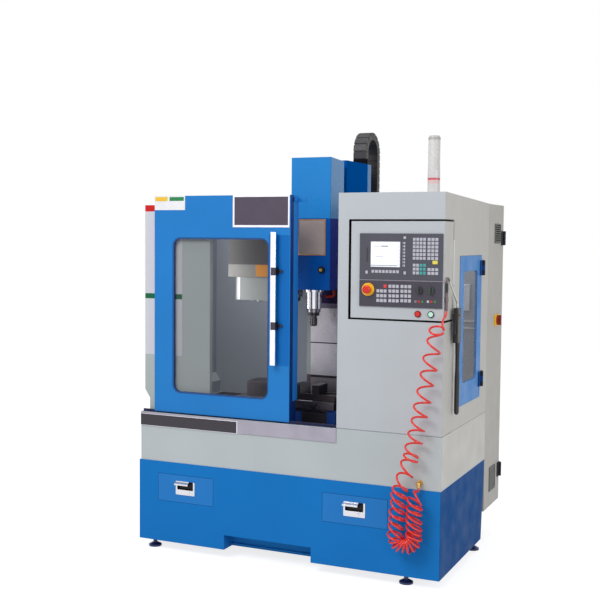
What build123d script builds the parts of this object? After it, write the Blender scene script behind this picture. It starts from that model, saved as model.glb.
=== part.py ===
from build123d import *
import math
import os

# Machining centre. Every piece is drawn in the machine's own axes: X to the right along the front,
# Y back from the front face of the stand, Z up from the stand's lower edge. All sizes are in mm.
# At export the whole model moves so that the origin is on the floor, under the middle of its box.

# Clearances
SLIDE_GAP = 0.3          # between flat faces that slide past each other
SHAFT_GAP = 0.1          # radial, round a turning shaft
BUTTON_GAP = 0.4         # radial, round a push button
DOOR_GAP = 1.5           # round a hinged door or a drawer front
SHEET = 3.0              # sheet metal of the enclosure

# Stand
WIDTH = 1644.0
DEPTH = 815.0
STAND_FOOT_DEPTH = DEPTH - 50.0     # the rear face leans in towards the floor
STAND_HEIGHT = 421.0
FOOT_HEIGHT = 50.0
FOOT_PAD_RADIUS = 34.0
FOOT_PAD_HEIGHT = 18.0
FOOT_STUD_RADIUS = 11.0
FOOT_INSET = 60.0
NOTCH_LEFT = 507.0
NOTCH_WIDTH = 482.5
NOTCH_HEIGHT = 75.0
NOTCH_DEPTH = 90.0
NOTCH_FLANGE = 14.0

# Drawers: left edge, width, lower edge and height of each front
DRAWERS = {
    "left": (116.0, 326.0, 216.0, 142.0),
    "right": (WIDTH - 594.0, 334.5, 215.0, 141.0),
}
DRAWER_FRONT = 16.0
DRAWER_DEPTH = 430.0
DRAWER_SHEET = 2.0
DRAWER_TRAVEL_ROOM = 10.0
RUNNER_THICKNESS = 12.0
RUNNER_HEIGHT = 36.0
PULL_WIDTH = 112.0
PULL_HEIGHT = 71.0
PULL_PLATE = 3.0
PULL_RIM = 9.0
PULL_WELL_DEPTH = 12.0
PULL_LIP_REACH = 15.0
PULL_LIP_HEIGHT = 11.0
PULL_LIP_WIDTH = 84.0
PULL_LOCK_RADIUS = 7.0

# Splash pan on the stand
PAN_INSET = 8.0
PAN_FRONT = 4.0
PAN_TOP = 676.0
PAN_FLOOR = 12.0
PAN_SIDE_WALL = 44.0
PAN_RIGHT_WALL = 16.0
PAN_FRONT_WALL = 56.0
PAN_BACK_WALL = 4.0
TRIM_BOTTOM = 606.0
TRIM_THICKNESS = 4.0
TRIM_TOP_GAP = 2.0

# Left part of the enclosure
PANEL_FRONT = 42.0
PANEL_TOP = 1758.0
PANEL_RIGHT = 397.0
PANEL_RETURN = 28.0
PANEL_STEP_IN = 30.0
PANEL_STEP_LOW = 744.0
PANEL_STEP_HIGH = 790.0

# Operator cabinet and right side
CABINET_LEFT = WIDTH - 526.5
CABINET_DEPTH = 170.0
CABINET_TOP = 1810.0
SEAM = 3.0                   # open joint between the enclosure and the pan
SIDE_TOP_SLOPE = 27.0        # fall of the top edge from the front to the back
CONSOLE_LEFT = WIDTH - 458.0
CONSOLE_BOTTOM = 1217.0
CONSOLE_TOP = 1675.0
CONSOLE_DEPTH = 145.0
CONSOLE_REVEAL = 9.0         # dark gap above, below and behind the console
CONSOLE_SIDE_REVEAL = 14.0   # and on its left
CONSOLE_MOUNT = 120.0
CATCH_DEPTH = 60.0

# Console faces
FACE_LEFT = CONSOLE_LEFT + 45.5
FACE_RIGHT = WIDTH - 7.0
FACE_TOP = 1618.0
FACE_SPLIT = 1400.0
FACE_BOTTOM = 1274.5
FACE_THICKNESS = 6.0
KEY_HEIGHT = 2.0
SCREEN_LEFT = FACE_LEFT + 54.5
SCREEN_RIGHT = SCREEN_LEFT + 146.0
SCREEN_BOTTOM = 1461.0
SCREEN_TOP = 1580.0
SCREEN_RECESS = 2.0

# Key fields of the console: first column from the face's left edge, first row, column and row pitch,
# key width and key height
DISPLAY_KEYS = [
    (269.5, 1591.5, 16.4, 17.5, 13.0, 13.5),
    (340.5, 1591.5, 18.4, 17.5, 14.5, 13.5),
    (270.5, 1472.0, 16.5, 18.0, 13.0, 13.5),
    (342.5, 1453.0, 18.0, 17.6, 14.5, 13.5),
    (219.5, 1573.5, 16.0, 14.9, 13.0, 10.0),
    (68.0, 1439.5, 17.4, 16.0, 13.5, 13.5),
    (36.5, 1435.0, 16.0, 16.0, 12.0, 14.0),
    (224.5, 1435.0, 16.0, 16.0, 12.0, 14.0),
    (223.0, 1598.5, 16.0, 16.0, 12.0, 12.0),
    (370.5, 1486.0, 18.0, 18.0, 24.0, 16.0),
]
PANEL_KEYS = [
    (94.5, 1348.0, 17.8, 22.4, 14.5, 15.0),
    (130.0, 1371.0, 17.8, 22.4, 14.5, 15.0),
    (154.0, 1371.0, 18.0, 22.4, 14.5, 15.0),
    (213.0, 1371.5, 18.6, 22.0, 14.5, 15.0),
    (279.5, 1303.5, 16.2, 16.0, 11.0, 11.0),
    (339.5, 1305.0, 16.6, 16.0, 11.0, 11.0),
]
# Columns and rows of the same fields
DISPLAY_KEY_COUNTS = [(4, 6), (3, 6), (4, 3), (3, 2), (1, 8), (8, 1), (1, 1), (1, 1), (1, 1), (1, 1)]
PANEL_KEY_COUNTS = [(3, 3), (1, 1), (3, 4), (3, 4), (3, 1), (3, 1)]

# Controls on the console
ESTOP_X = FACE_LEFT + 45.5
ESTOP_Z = 1354.0
ESTOP_COLLAR_RADIUS = 30.7
ESTOP_COLLAR_HEIGHT = 7.0
ESTOP_HEAD_RADIUS = 19.5
ESTOP_HEAD_HEIGHT = 15.0
ESTOP_STEM_RADIUS = 9.0
ESTOP_REACH = 36.0           # from the panel to the top of the mushroom head
ESTOP_TRAVEL = 6.0
KNOBS_X = (FACE_RIGHT - 110.0, FACE_RIGHT - 54.0)
KNOB_Z = 1355.5
KNOB_RADIUS = 17.0
KNOB_REACH = 20.0
PUSH_X = {"stop_button": FACE_RIGHT - 116.0, "start_button": FACE_RIGHT - 52.5}
PUSH_Z = 1245.5
PUSH_RADIUS = 11.5
PUSH_BEZEL_RADIUS = 15.5
PUSH_BEZEL_HEIGHT = 5.0
PUSH_REACH = 9.0
PUSH_TRAVEL = 3.0

# Signal tower
TOWER_X = WIDTH - 87.0
TOWER_Y = 100.0
TOWER_RADIUS = 29.0
TOWER_BODY_TOP = 1916.0
TOWER_LENS_TOP = 2056.0
TOWER_CAP = 18.0
TOWER_FOOT = 8.0

# Sliding front door
DOOR_LEFT = 80.0
DOOR_WIDTH = 778.0
DOOR_BOTTOM = 681.0
DOOR_TOP = 1804.0
DOOR_FRONT = 20.0
DOOR_THICKNESS = 18.0
DOOR_RETURN_DEPTH = 95.0
DOOR_RETURN_BOTTOM = 782.0
DOOR_WINDOW = (188.0, 743.0, 784.0, 1591.0)
WINDOW_RADIUS = 45.0
GASKET = 8.0
GLASS = 5.0
GRIP_LEFT = 764.0
GRIP_WIDTH = 29.0
GRIP_BOTTOM = 964.0
GRIP_TOP = 1621.0
GRIP_REACH = 34.0
GRIP_DEPTH = 14.0
GRIP_CLAMPS = (1159.0, 1428.0)
GRIP_CLAMP_HEIGHT = 38.0
GRIP_CLAMP_WIDTH = 26.0
GRIP_CLAMP_WRAP = 3.0        # how far a clamp stands round the grip
GRIP_BOLT_OUT = 34.0         # from the grip's middle to the bolt beside it
GRIP_BOLT_RADIUS = 7.0
RAIL_WIDTH = 6.0
RAIL_HEIGHT = 12.0
TOP_CHANNEL_HEIGHT = 30.0
TOP_CHANNEL_DEPTH = 22.0
TOP_CHANNEL_SHEET = 2.5
GUIDE_LENGTH = 70.0
CATCH_WIDTH = 44.0
CATCH_BOTTOM = 1772.0
CATCH_HEIGHT = 22.0

# Side door
SIDE_DOOR_FRONT = 265.0
SIDE_DOOR_BACK = DEPTH - 138.0
SIDE_DOOR_BOTTOM = 779.0
SIDE_DOOR_TOP = 1512.0
SIDE_DOOR_THICKNESS = 12.0
SIDE_DOOR_PROUD = 2.0
SIDE_WINDOW = (SIDE_DOOR_FRONT + 71.0, SIDE_DOOR_BACK - 87.0, 888.0, 1437.0)
SIDE_WINDOW_RADIUS = 20.0
HINGE_LEAF = 36.0
HINGE_LEAF_THICKNESS = 6.0
HINGE_KNUCKLE = 9.0
HINGE_PIN = 4.0
HINGE_HEIGHT = 78.0
HINGE_OUT = 9.0              # hinge axis in front of the face it is fixed to
SIDE_HINGES_Z = (872.0, 1448.0)

# Electrical cabinet
EC_LEFT = WIDTH - 614.0
EC_BACK = DEPTH + 335.0
EC_BOTTOM = 136.0
EC_TOP = 1782.0
EC_DOOR = 18.0
EC_HINGES_Z = (307.0, 1602.0)
GRILLES = (
    (DEPTH + 134.0, DEPTH + 258.0, 1575.0, 1678.0),
    (DEPTH + 107.0, DEPTH + 231.0, 220.0, 351.0),
)
GRILLE_THICKNESS = 5.0
GRILLE_SLATS = 8
SWITCH_PLATE = (DEPTH + 154.0, DEPTH + 259.0, 1123.0, 1185.0)
SWITCH_PLATE_THICKNESS = 6.0
SWITCH_HUB_RADIUS = 27.0
SWITCH_REACH = 22.0
SWITCH_GRIP = 14.0
MOUNTING_PLATE = 3.0
DRIVE_COUNT = 4
DRIVE_SIZE = (80.0, 170.0, 320.0)
BREAKER_COUNT = 6
BREAKER_SIZE = (44.0, 75.0, 86.0)
TRANSFORMER_SIZE = (190.0, 150.0, 180.0)

# Bed, saddle and table
BED_LEFT = 640.0
BED_RIGHT = 1060.0
BED_FRONT = 95.0
BED_TOP = 600.0
BED_FLANGE = 36.0
SPINDLE_X = 850.0
COLUMN_FRONT = DEPTH - 315.0
HEAD_BACK = COLUMN_FRONT - 30.0
HEAD_FRONT = HEAD_BACK - 189.0
SPINDLE_Y = HEAD_FRONT + 54.0
RAIL_SECTION = (20.0, 16.0)
BLOCK_LENGTH = 54.0
BLOCK_WIDTH = 44.0
BLOCK_HEIGHT = 34.0
Y_RAIL_SPREAD = 150.0
SADDLE_WIDTH = 320.0
SADDLE_DEPTH = 160.0
SADDLE_BOTTOM = 640.0
SADDLE_TOP = 697.0
TABLE_LEFT = 440.0
TABLE_LENGTH = 560.0
TABLE_TOP = 755.0
TABLE_THICKNESS = 40.0
X_RAIL_SPREAD = 50.0
X_BLOCK_LIFT = 1.0
TSLOT_COUNT = 3
TSLOT_PITCH = 48.0
TSLOT_WIDTH = 12.0
TSLOT_THROAT = 11.0
TSLOT_FOOT_WIDTH = 20.0
TSLOT_FOOT = 8.0

# Vise on the table
VISE_LEFT = 765.0
VISE_LENGTH = 230.0
VISE_WIDTH = 116.0
VISE_BED = 34.0
VISE_JAW_HEIGHT = 46.0
VISE_JAW_LENGTH = 40.0
VISE_OPENING = 62.0
VISE_TONGUE = 30.0
VISE_SCREW_RADIUS = 9.0
VISE_SCREW_OUT = 18.0

# Housing on the left end of the table
TABLE_BOX = (497.0, 627.0)
TABLE_BOX_HEIGHT = 84.0
TABLE_BOX_INSET = 12.0

# Column and its covers
COLUMN_LEFT = SPINDLE_X - 110.0
COLUMN_RIGHT = SPINDLE_X + 110.0
COLUMN_TOP = 2003.0
Z_RAIL_SPREAD = 58.0
REAR_COVER_BACK = DEPTH + 63.0
REAR_COVER_INSET = 5.0
REAR_COVER_BOTTOM = 690.0
WAY_COVER_LEFT = SPINDLE_X - 76.0
WAY_COVER_RIGHT = SPINDLE_X + 76.0
WAY_PLATES = ((1034.0, 1352.0), (850.0, 1060.0), (700.0, 872.0))

# Head
HEAD_LEFT = COLUMN_LEFT
HEAD_RIGHT = SPINDLE_X + 111.0
HEAD_BOTTOM = 1327.0
HEAD_HEIGHT = 367.0
HEAD_SPLIT = HEAD_BOTTOM + HEAD_HEIGHT
HEAD_COVER_HEIGHT = 311.0
HEAD_TOP = HEAD_SPLIT + HEAD_COVER_HEIGHT
HEAD_TOP_FALL = 11.0         # of the cover's top towards the back
HEAD_COVER_BACK = HEAD_BACK - 12.0
HEAD_CHAMFER = 3.0
MOTOR_SIZE = (150.0, 130.0, 230.0)
CARTRIDGE_FLANGE_RADIUS = 52.0
CARTRIDGE_FLANGE = 12.0
CARTRIDGE_RADIUS = 42.0
CARTRIDGE_BOTTOM = 1226.0
NOSE_RADIUS = 35.0
NOSE_BOTTOM = 1210.0
SPINDLE_RADIUS = 27.0
SPINDLE_END_GAP = 2.0
SPINDLE_UP = 100.0           # the shaft's reach into the head casting
TAPER_LARGE = 16.0
TAPER_SMALL = 9.5
TAPER_LENGTH = 46.0
HOLDER_FLANGE_RADIUS = 30.0
HOLDER_BOTTOM = 1138.0
COLLET_NUT_RADIUS = 19.0
COLLET_BORE = 6.0
COLLET_BORE_DEPTH = 40.0
HEAD_PORT = (916.0, 1431.0)
HEAD_PORT_RADIUS = 17.0

# Tool magazine
MAGAZINE_X = 582.0
MAGAZINE_Y = COLUMN_FRONT - 70.0
MAGAZINE_BOX_X = (397.0, 732.0)
MAGAZINE_BOX_Y = (MAGAZINE_Y - 190.0, MAGAZINE_Y + 190.0)
MAGAZINE_BOX_Z = (1386.0, 1604.0)
MAGAZINE_SKIRT_LEFT = 426.0
MAGAZINE_SKIRT_RIGHT = 660.0     # the skirt is open from here towards the spindle
MAGAZINE_SKIRT_BOTTOM = 1266.0
MAGAZINE_SKIRT_CORNER = 36.0
CAROUSEL_RADIUS = 137.0
CAROUSEL_BOTTOM = 1290.0
CAROUSEL_TOP = 1318.0
CAROUSEL_HUB = 40.0
POCKETS = 10
POCKET_RADIUS = 17.0
POCKET_CIRCLE = 122.0
STORED_TOOLS = 8
MAGAZINE_BEAM = (1450.0, 1500.0)
MAGAZINE_BEAM_Y = (COLUMN_FRONT + 20.0, COLUMN_FRONT + 100.0)
MAGAZINE_SHAFT_RADIUS = 14.0
MAGAZINE_MOTOR_RADIUS = 42.0
MAGAZINE_MOTOR_HEIGHT = 90.0

# Cable chain
CHAIN_LEFT = 884.0
CHAIN_RIGHT = 958.0
CHAIN_FRONT = DEPTH - 30.0
CHAIN_OUTER_RADIUS = 113.0
CHAIN_HEIGHT = 40.0
CHAIN_TOP = 2184.0
CHAIN_LINK = 40.0
CHAIN_FRONT_LINKS = 1
CHAIN_ARCH_LINKS = 8
CHAIN_REAR_LINKS = 14
CHAIN_STEP = 2.5             # the links' shells stand out of the core by this
CHAIN_GROOVE = 4.0           # between the links' shells

# Air line: fitting on the pan, hose, and the blow gun on its hook
FITTING_X = WIDTH - 100.0
FITTING_Z = 455.0
FITTING_RADIUS = 9.0
FITTING_REACH = 26.0
FITTING_DROP = 18.0
HOSE_RADIUS = 5.0
COIL_RADIUS = 43.0
COUPLING_X = WIDTH + 10.0
COUPLING_Y = 12.0
COUPLING_BOTTOM = 1262.0
COUPLING_TOP = 1396.0
COUPLING_RADIUS = 7.0
GUN_X = WIDTH + 24.0
GUN_Y = (116.0, 174.0)
GUN_WIDTH = 26.0
GUN_BOTTOM = 1107.0
GUN_TOP = 1270.0
GUN_NOZZLE_RADIUS = 11.5
GUN_NOZZLE_WAIST = 9.5
GUN_NOZZLE_BOTTOM = 762.0
GUN_TAPER = 65.0
GUN_NECK_RADIUS = 4.5
GUN_BEND = 12.0
GUN_LEVER = 5.0
GUN_LEVER_LENGTH = 120.0
GUN_PIN_RADIUS = 3.0
HOOK_Z = 1236.0
HOOK_RADIUS = 3.5

# Route of the hose from the fitting to the slack coil, and from the stretched coil to the coupling
COIL_Y = -62.0
HOSE_START = [
    (FITTING_X, PAN_FRONT - FITTING_REACH, FITTING_Z - FITTING_DROP),
    (FITTING_X, -24.0, 424.0),
    (1541.0, -46.0, 405.0),
    (1537.0, COIL_Y, 378.0),
]
SLACK_COIL = [
    (1537.0, COIL_Y, 378.0),
    (1537.0, COIL_Y, 170.0),
    (1449.0, COIL_Y, 170.0),
    (1449.0, COIL_Y, 400.0),
]
STRETCHED_COIL = [
    (1449.0, COIL_Y, 400.0),
    (1449.0, COIL_Y, 450.0),
    (1523.0, COIL_Y, 589.0),
    (1637.0, COIL_Y, 1181.0),
]
HOSE_END = [
    (1637.0, COIL_Y, 1181.0),
    (1641.0, -56.0, 1206.0),
    (1650.0, -14.0, 1224.0),
    (COUPLING_X, COUPLING_Y - 2.0, 1238.0),
    (COUPLING_X, COUPLING_Y, COUPLING_BOTTOM),
]

# Where the machine's box ends, for the origin
HOOK_END = GUN_X + GUN_WIDTH / 2 + 3 * SHEET
RIGHT_END = HOOK_END
FRONT_END = -FACE_THICKNESS - ESTOP_REACH
ORIGIN = Vector(RIGHT_END / 2, (FRONT_END + EC_BACK) / 2, -FOOT_HEIGHT)


def block(x, y, z):
    """A box given by its low and high limit along each axis."""
    size = (x[1] - x[0], y[1] - y[0], z[1] - z[0])
    return Pos(x[0], y[0], z[0]) * Box(*size, align=(Align.MIN, Align.MIN, Align.MIN))


def round_plate_y(x, y, z, radius):
    """A plate that faces the front, with rounded corners."""
    face = Plane.XZ * RectangleRounded(x[1] - x[0], z[1] - z[0], radius)
    return Pos((x[0] + x[1]) / 2, y[1], (z[0] + z[1]) / 2) * extrude(face, y[1] - y[0])


def round_plate_x(x, y, z, radius):
    """A plate that faces the side, with rounded corners."""
    face = Plane.YZ * RectangleRounded(y[1] - y[0], z[1] - z[0], radius)
    return Pos(x[0], (y[0] + y[1]) / 2, (z[0] + z[1]) / 2) * extrude(face, x[1] - x[0])


def round_plate_z(x, y, z, radius):
    """A plate with round corners, seen from above."""
    shape = block(x, y, z)
    return fillet(shape.edges().filter_by(Axis.Z), radius)


def rod_z(x, y, radius, z):
    low = (Align.CENTER, Align.CENTER, Align.MIN)
    return Pos(x, y, z[0]) * Cylinder(radius, z[1] - z[0], align=low)


def rod_y(x, z, radius, y):
    low = (Align.CENTER, Align.CENTER, Align.MIN)
    return Pos(x, y[0], z) * Rotation(-90, 0, 0) * Cylinder(radius, y[1] - y[0], align=low)


def rod_x(y, z, radius, x):
    low = (Align.CENTER, Align.CENTER, Align.MIN)
    return Pos(x[0], y, z) * Rotation(0, 90, 0) * Cylinder(radius, x[1] - x[0], align=low)


def turned(x, y, outline):
    """A solid of revolution about a vertical axis; the outline lists radius and height."""
    face = make_face(Plane.XZ * Polyline(*outline, close=True))
    return Pos(x, y, 0) * revolve(face, Axis.Z)


def profile_along_x(x, outline):
    """An outline in Y and Z, extruded from x[0] to x[1]."""
    face = make_face(Plane.YZ * Polyline(*outline, close=True))
    return Pos(x[0], 0, 0) * extrude(face, x[1] - x[0], dir=(1, 0, 0))


def profile_along_y(y, outline):
    """An outline in X and Z, extruded from y[0] to y[1]."""
    face = make_face(Plane.XZ * Polyline(*outline, close=True))
    return Pos(0, y[0], 0) * extrude(face, y[1] - y[0], dir=(0, 1, 0))


def group(shapes):
    solids = [solid for shape in shapes for solid in shape.solids()]
    return Compound(children=solids) if len(solids) > 1 else solids[0]


# Stand


def stand_housing():
    outline = [(0, 0), (STAND_FOOT_DEPTH, 0), (DEPTH, STAND_HEIGHT), (0, STAND_HEIGHT)]
    body = profile_along_x((0, WIDTH), outline)
    body -= block((NOTCH_LEFT, NOTCH_LEFT + NOTCH_WIDTH), (-1, NOTCH_DEPTH), (-1, NOTCH_HEIGHT))
    for left, width, bottom, height in DRAWERS.values():
        pocket = block(
            (left - DOOR_GAP, left + width + DOOR_GAP),
            (-1, DRAWER_DEPTH + DRAWER_TRAVEL_ROOM),
            (bottom - DOOR_GAP, bottom + height + DOOR_GAP),
        )
        body -= pocket
    return body + notch_flange() + drawer_runners()


def notch_flange():
    """Folded strip that closes the toe recess at its back."""
    x = (NOTCH_LEFT, NOTCH_LEFT + NOTCH_WIDTH)
    back = block(x, (NOTCH_DEPTH - SHEET, NOTCH_DEPTH), (NOTCH_FLANGE, NOTCH_HEIGHT))
    lip = block(x, (NOTCH_DEPTH - NOTCH_FLANGE, NOTCH_DEPTH), (NOTCH_FLANGE, NOTCH_FLANGE + SHEET))
    return back + lip


def levelling_feet():
    rear = STAND_FOOT_DEPTH - FOOT_PAD_RADIUS
    front = FOOT_INSET
    spots = [
        (FOOT_INSET, front),
        (WIDTH - 3 * FOOT_INSET, front),
        (WIDTH - FOOT_PAD_RADIUS, rear),
        (FOOT_INSET, rear),
        (NOTCH_LEFT, rear),
        (WIDTH - NOTCH_LEFT, rear),
    ]
    bottom = -FOOT_HEIGHT
    outline = [
        (0, bottom),
        (FOOT_PAD_RADIUS, bottom),
        (FOOT_PAD_RADIUS, bottom + FOOT_PAD_HEIGHT / 2),
        (FOOT_STUD_RADIUS * 1.6, bottom + FOOT_PAD_HEIGHT),
        (FOOT_STUD_RADIUS, bottom + FOOT_PAD_HEIGHT),
        (FOOT_STUD_RADIUS, 0),
        (0, 0),
    ]
    return group([turned(x, y, outline) for x, y in spots])


def drawer(left, width, bottom, height):
    front = block((left, left + width), (0, DRAWER_FRONT), (bottom, bottom + height))
    side = RUNNER_THICKNESS + SLIDE_GAP - DOOR_GAP
    x = (left + side, left + width - side)
    z = (bottom + SHEET, bottom + height - 4 * SHEET)
    tray = block(x, (DRAWER_FRONT, DRAWER_DEPTH), z)
    inside = block(
        (x[0] + DRAWER_SHEET, x[1] - DRAWER_SHEET),
        (DRAWER_FRONT, DRAWER_DEPTH - DRAWER_SHEET),
        (z[0] + DRAWER_SHEET, z[1] + 1),
    )
    recess = pull_well(left, width, bottom, height, (-1, PULL_WELL_DEPTH))
    return front - recess + (tray - inside)


def drawer_runners():
    """Fixed rails on both side walls of each drawer's bay."""
    rails = []
    for left, width, bottom, height in DRAWERS.values():
        middle = bottom + height / 2
        z = (middle - RUNNER_HEIGHT / 2, middle + RUNNER_HEIGHT / 2)
        y = (DRAWER_FRONT + SHEET, DRAWER_DEPTH)
        wall = left - DOOR_GAP
        rails.append(block((wall, wall + RUNNER_THICKNESS), y, z))
        wall = left + width + DOOR_GAP
        rails.append(block((wall - RUNNER_THICKNESS, wall), y, z))
    return rails


def pull_outline(left, width, bottom, height, rim):
    """Left and right edge and lower and upper edge of a drawer's pull, less its rim."""
    x = left + width / 2
    z = bottom + height / 2 + PULL_LIP_HEIGHT / 2
    half_width = PULL_WIDTH / 2 - rim
    half_height = PULL_HEIGHT / 2 - rim
    return (x - half_width, x + half_width), (z - half_height, z + half_height)


def pull_well(left, width, bottom, height, y):
    """The finger recess below the pull's lip."""
    x, z = pull_outline(left, width, bottom, height, PULL_RIM)
    return round_plate_y(x, y, (z[0] + 2 * PULL_RIM, z[1]), PULL_RIM / 2)


def drawer_pull(left, width, bottom, height):
    """Plate with a finger recess, the lip across it and the lock below."""
    x, z = pull_outline(left, width, bottom, height, 0)
    plate = round_plate_y(x, (-PULL_PLATE, 0), z, PULL_RIM / 2)
    plate -= pull_well(left, width, bottom, height, (-PULL_PLATE - 1, 1))
    top = z[1] - PULL_RIM
    outline = [
        (0, top + PULL_RIM / 2),
        (-PULL_PLATE, top + PULL_RIM / 2),
        (-PULL_LIP_REACH, top - PULL_LIP_HEIGHT / 3),
        (-PULL_LIP_REACH, top - PULL_LIP_HEIGHT),
        (-PULL_LIP_REACH + PULL_PLATE, top - PULL_LIP_HEIGHT),
        (0, top),
    ]
    lip = profile_along_x((x[0] - PULL_PLATE, x[0] + PULL_LIP_WIDTH), outline)
    middle = (x[0] + x[1]) / 2
    lock_z = z[0] + 1.5 * PULL_RIM
    lock = rod_y(middle + 2 * PULL_RIM, lock_z, PULL_LOCK_RADIUS, (-2 * PULL_PLATE, -PULL_PLATE))
    return plate + lip + lock


# Splash pan and enclosure


def splash_pan():
    x = (PAN_INSET, WIDTH)
    body = block(x, (PAN_FRONT, DEPTH), (STAND_HEIGHT, PAN_TOP))
    inside = block(
        (x[0] + PAN_SIDE_WALL, x[1] - PAN_RIGHT_WALL),
        (PAN_FRONT + PAN_FRONT_WALL, DEPTH - PAN_BACK_WALL),
        (STAND_HEIGHT + PAN_FLOOR, PAN_TOP + 1),
    )
    return body - inside + door_rail()


def front_trim():
    y = (PAN_FRONT - TRIM_THICKNESS, PAN_FRONT)
    return block((PAN_INSET, CABINET_LEFT), y, (TRIM_BOTTOM, PAN_TOP - TRIM_TOP_GAP))


def left_front_panel():
    x = PAN_INSET
    outline = [
        (x + PANEL_STEP_IN, PAN_TOP),
        (x + PANEL_STEP_IN, PANEL_STEP_LOW),
        (x, PANEL_STEP_HIGH),
        (x, PANEL_TOP),
        (PANEL_RIGHT, PANEL_TOP),
        (PANEL_RIGHT, PAN_TOP),
    ]
    sheet = profile_along_y((PANEL_FRONT, PANEL_FRONT + SHEET), outline)
    back = PANEL_FRONT + PANEL_RETURN
    flange = block((PANEL_RIGHT - SHEET, PANEL_RIGHT), (PANEL_FRONT, back), (PAN_TOP, PANEL_TOP))
    rim = block((x + SHEET, PANEL_RIGHT), (PANEL_FRONT, back), (PANEL_TOP - SHEET, PANEL_TOP))
    return sheet + flange + rim + door_top_guide()


def left_side_wall():
    """The left wall, folded round to the column at the back."""
    x = PAN_INSET
    step = PANEL_STEP_IN
    outline = [
        (x + step, PAN_TOP),
        (x + step, PANEL_STEP_LOW),
        (x, PANEL_STEP_HIGH),
        (x, PANEL_TOP),
        (x + SHEET, PANEL_TOP),
        (x + SHEET, PANEL_STEP_HIGH + 1),
        (x + step + SHEET, PANEL_STEP_LOW + 1),
        (x + step + SHEET, PAN_TOP),
    ]
    side = profile_along_y((PANEL_FRONT + SHEET, DEPTH), outline)
    rear = block((x + SHEET, COLUMN_LEFT - 1), (DEPTH - SHEET, DEPTH), (PANEL_STEP_HIGH, PANEL_TOP))
    foot = block((x + step, COLUMN_LEFT - 1), (DEPTH - SHEET, DEPTH), (PAN_TOP, PANEL_STEP_HIGH))
    return side + rear + foot


def top_height(y):
    """Height of the right side's sloping top edge."""
    return CABINET_TOP - SIDE_TOP_SLOPE * (y - PAN_FRONT) / (DEPTH - PAN_FRONT)


def right_side_wall():
    """The right wall with the side door's opening, folded round to the column at the back."""
    outline = [
        (CABINET_DEPTH, PAN_TOP),
        (DEPTH, PAN_TOP),
        (DEPTH, top_height(DEPTH)),
        (CABINET_DEPTH, top_height(CABINET_DEPTH)),
    ]
    sheet = profile_along_x((WIDTH - SHEET, WIDTH), outline)
    doorway = block(
        (WIDTH - SHEET - 1, WIDTH + 1),
        (SIDE_DOOR_FRONT - DOOR_GAP, SIDE_DOOR_BACK + DOOR_GAP),
        (SIDE_DOOR_BOTTOM - DOOR_GAP, SIDE_DOOR_TOP + DOOR_GAP),
    )
    joint_z = (PAN_TOP - 1, PAN_TOP + SEAM)
    joint = block((WIDTH - SEAM / 2, WIDTH + 1), (CABINET_DEPTH - 1, DEPTH + 1), joint_z)
    rear = block((COLUMN_RIGHT + 1, WIDTH), (DEPTH - SHEET, DEPTH), (PAN_TOP, PANEL_TOP))
    return sheet - doorway - joint + (rear - joint) + side_hinge_fixed()


def operator_cabinet():
    outline = [
        (PAN_FRONT, PAN_TOP),
        (CABINET_DEPTH, PAN_TOP),
        (CABINET_DEPTH, top_height(CABINET_DEPTH)),
        (PAN_FRONT, CABINET_TOP),
    ]
    body = profile_along_x((CABINET_LEFT, WIDTH), outline)
    body -= block(
        (CONSOLE_LEFT - CONSOLE_SIDE_REVEAL, WIDTH + 1),
        (PAN_FRONT - 1, CONSOLE_DEPTH + CONSOLE_REVEAL),
        (CONSOLE_BOTTOM - CONSOLE_REVEAL, CONSOLE_TOP + CONSOLE_REVEAL),
    )
    catch_y = DOOR_FRONT + DOOR_RETURN_DEPTH
    body -= block(
        (CABINET_LEFT - 1, CABINET_LEFT + CATCH_WIDTH + 2 * DOOR_GAP),
        (catch_y - CATCH_DEPTH - 2 * DOOR_GAP, catch_y + 2 * DOOR_GAP),
        (CATCH_BOTTOM - 2 * DOOR_GAP, CABINET_TOP + 1),
    )
    joint = (PAN_TOP - 1, PAN_TOP + SEAM)
    body -= block((CABINET_LEFT - 1, WIDTH + 1), (PAN_FRONT - 1, PAN_FRONT + SEAM), joint)
    return body - block((WIDTH - SEAM, WIDTH + 1), (PAN_FRONT - 1, CABINET_DEPTH + 1), joint)


# Console


def console_box():
    body = block((CONSOLE_LEFT, WIDTH), (0, CONSOLE_DEPTH), (CONSOLE_BOTTOM, CONSOLE_TOP))
    body += [console_mount(), gun_hook()] + button_bezels()
    for x in PUSH_X.values():
        well = (-PUSH_BEZEL_HEIGHT - 1, PUSH_TRAVEL + BUTTON_GAP)
        body -= rod_y(x, PUSH_Z, PUSH_RADIUS + BUTTON_GAP, well)
    return body


def console_mount():
    """Boss that carries the console on the cabinet."""
    x = (CONSOLE_LEFT + WIDTH) / 2
    z = (CONSOLE_BOTTOM + CONSOLE_TOP) / 2
    half = CONSOLE_MOUNT / 2
    return block((x - half, x + half), (CONSOLE_DEPTH, CONSOLE_DEPTH + CONSOLE_REVEAL), (z - half, z + half))


def keys(fields, counts, y):
    """Raised keys of the key fields, standing on a panel whose front is at y."""
    raised = []
    for (first_x, first_z, pitch_x, pitch_z, wide, high), (columns, rows) in zip(fields, counts):
        for column in range(columns):
            for row in range(rows):
                x = FACE_LEFT + first_x + column * pitch_x
                z = first_z - row * pitch_z
                raised.append(
                    block((x - wide / 2, x + wide / 2), (y - KEY_HEIGHT, y), (z - high / 2, z + high / 2))
                )
    return raised


def display_unit():
    plate = block((FACE_LEFT, FACE_RIGHT), (-FACE_THICKNESS, 0), (FACE_SPLIT + 1, FACE_TOP))
    plate -= block(
        (SCREEN_LEFT, SCREEN_RIGHT),
        (-FACE_THICKNESS - 1, -FACE_THICKNESS / 2),
        (SCREEN_BOTTOM, SCREEN_TOP),
    )
    return plate + keys(DISPLAY_KEYS, DISPLAY_KEY_COUNTS, -FACE_THICKNESS)


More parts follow.
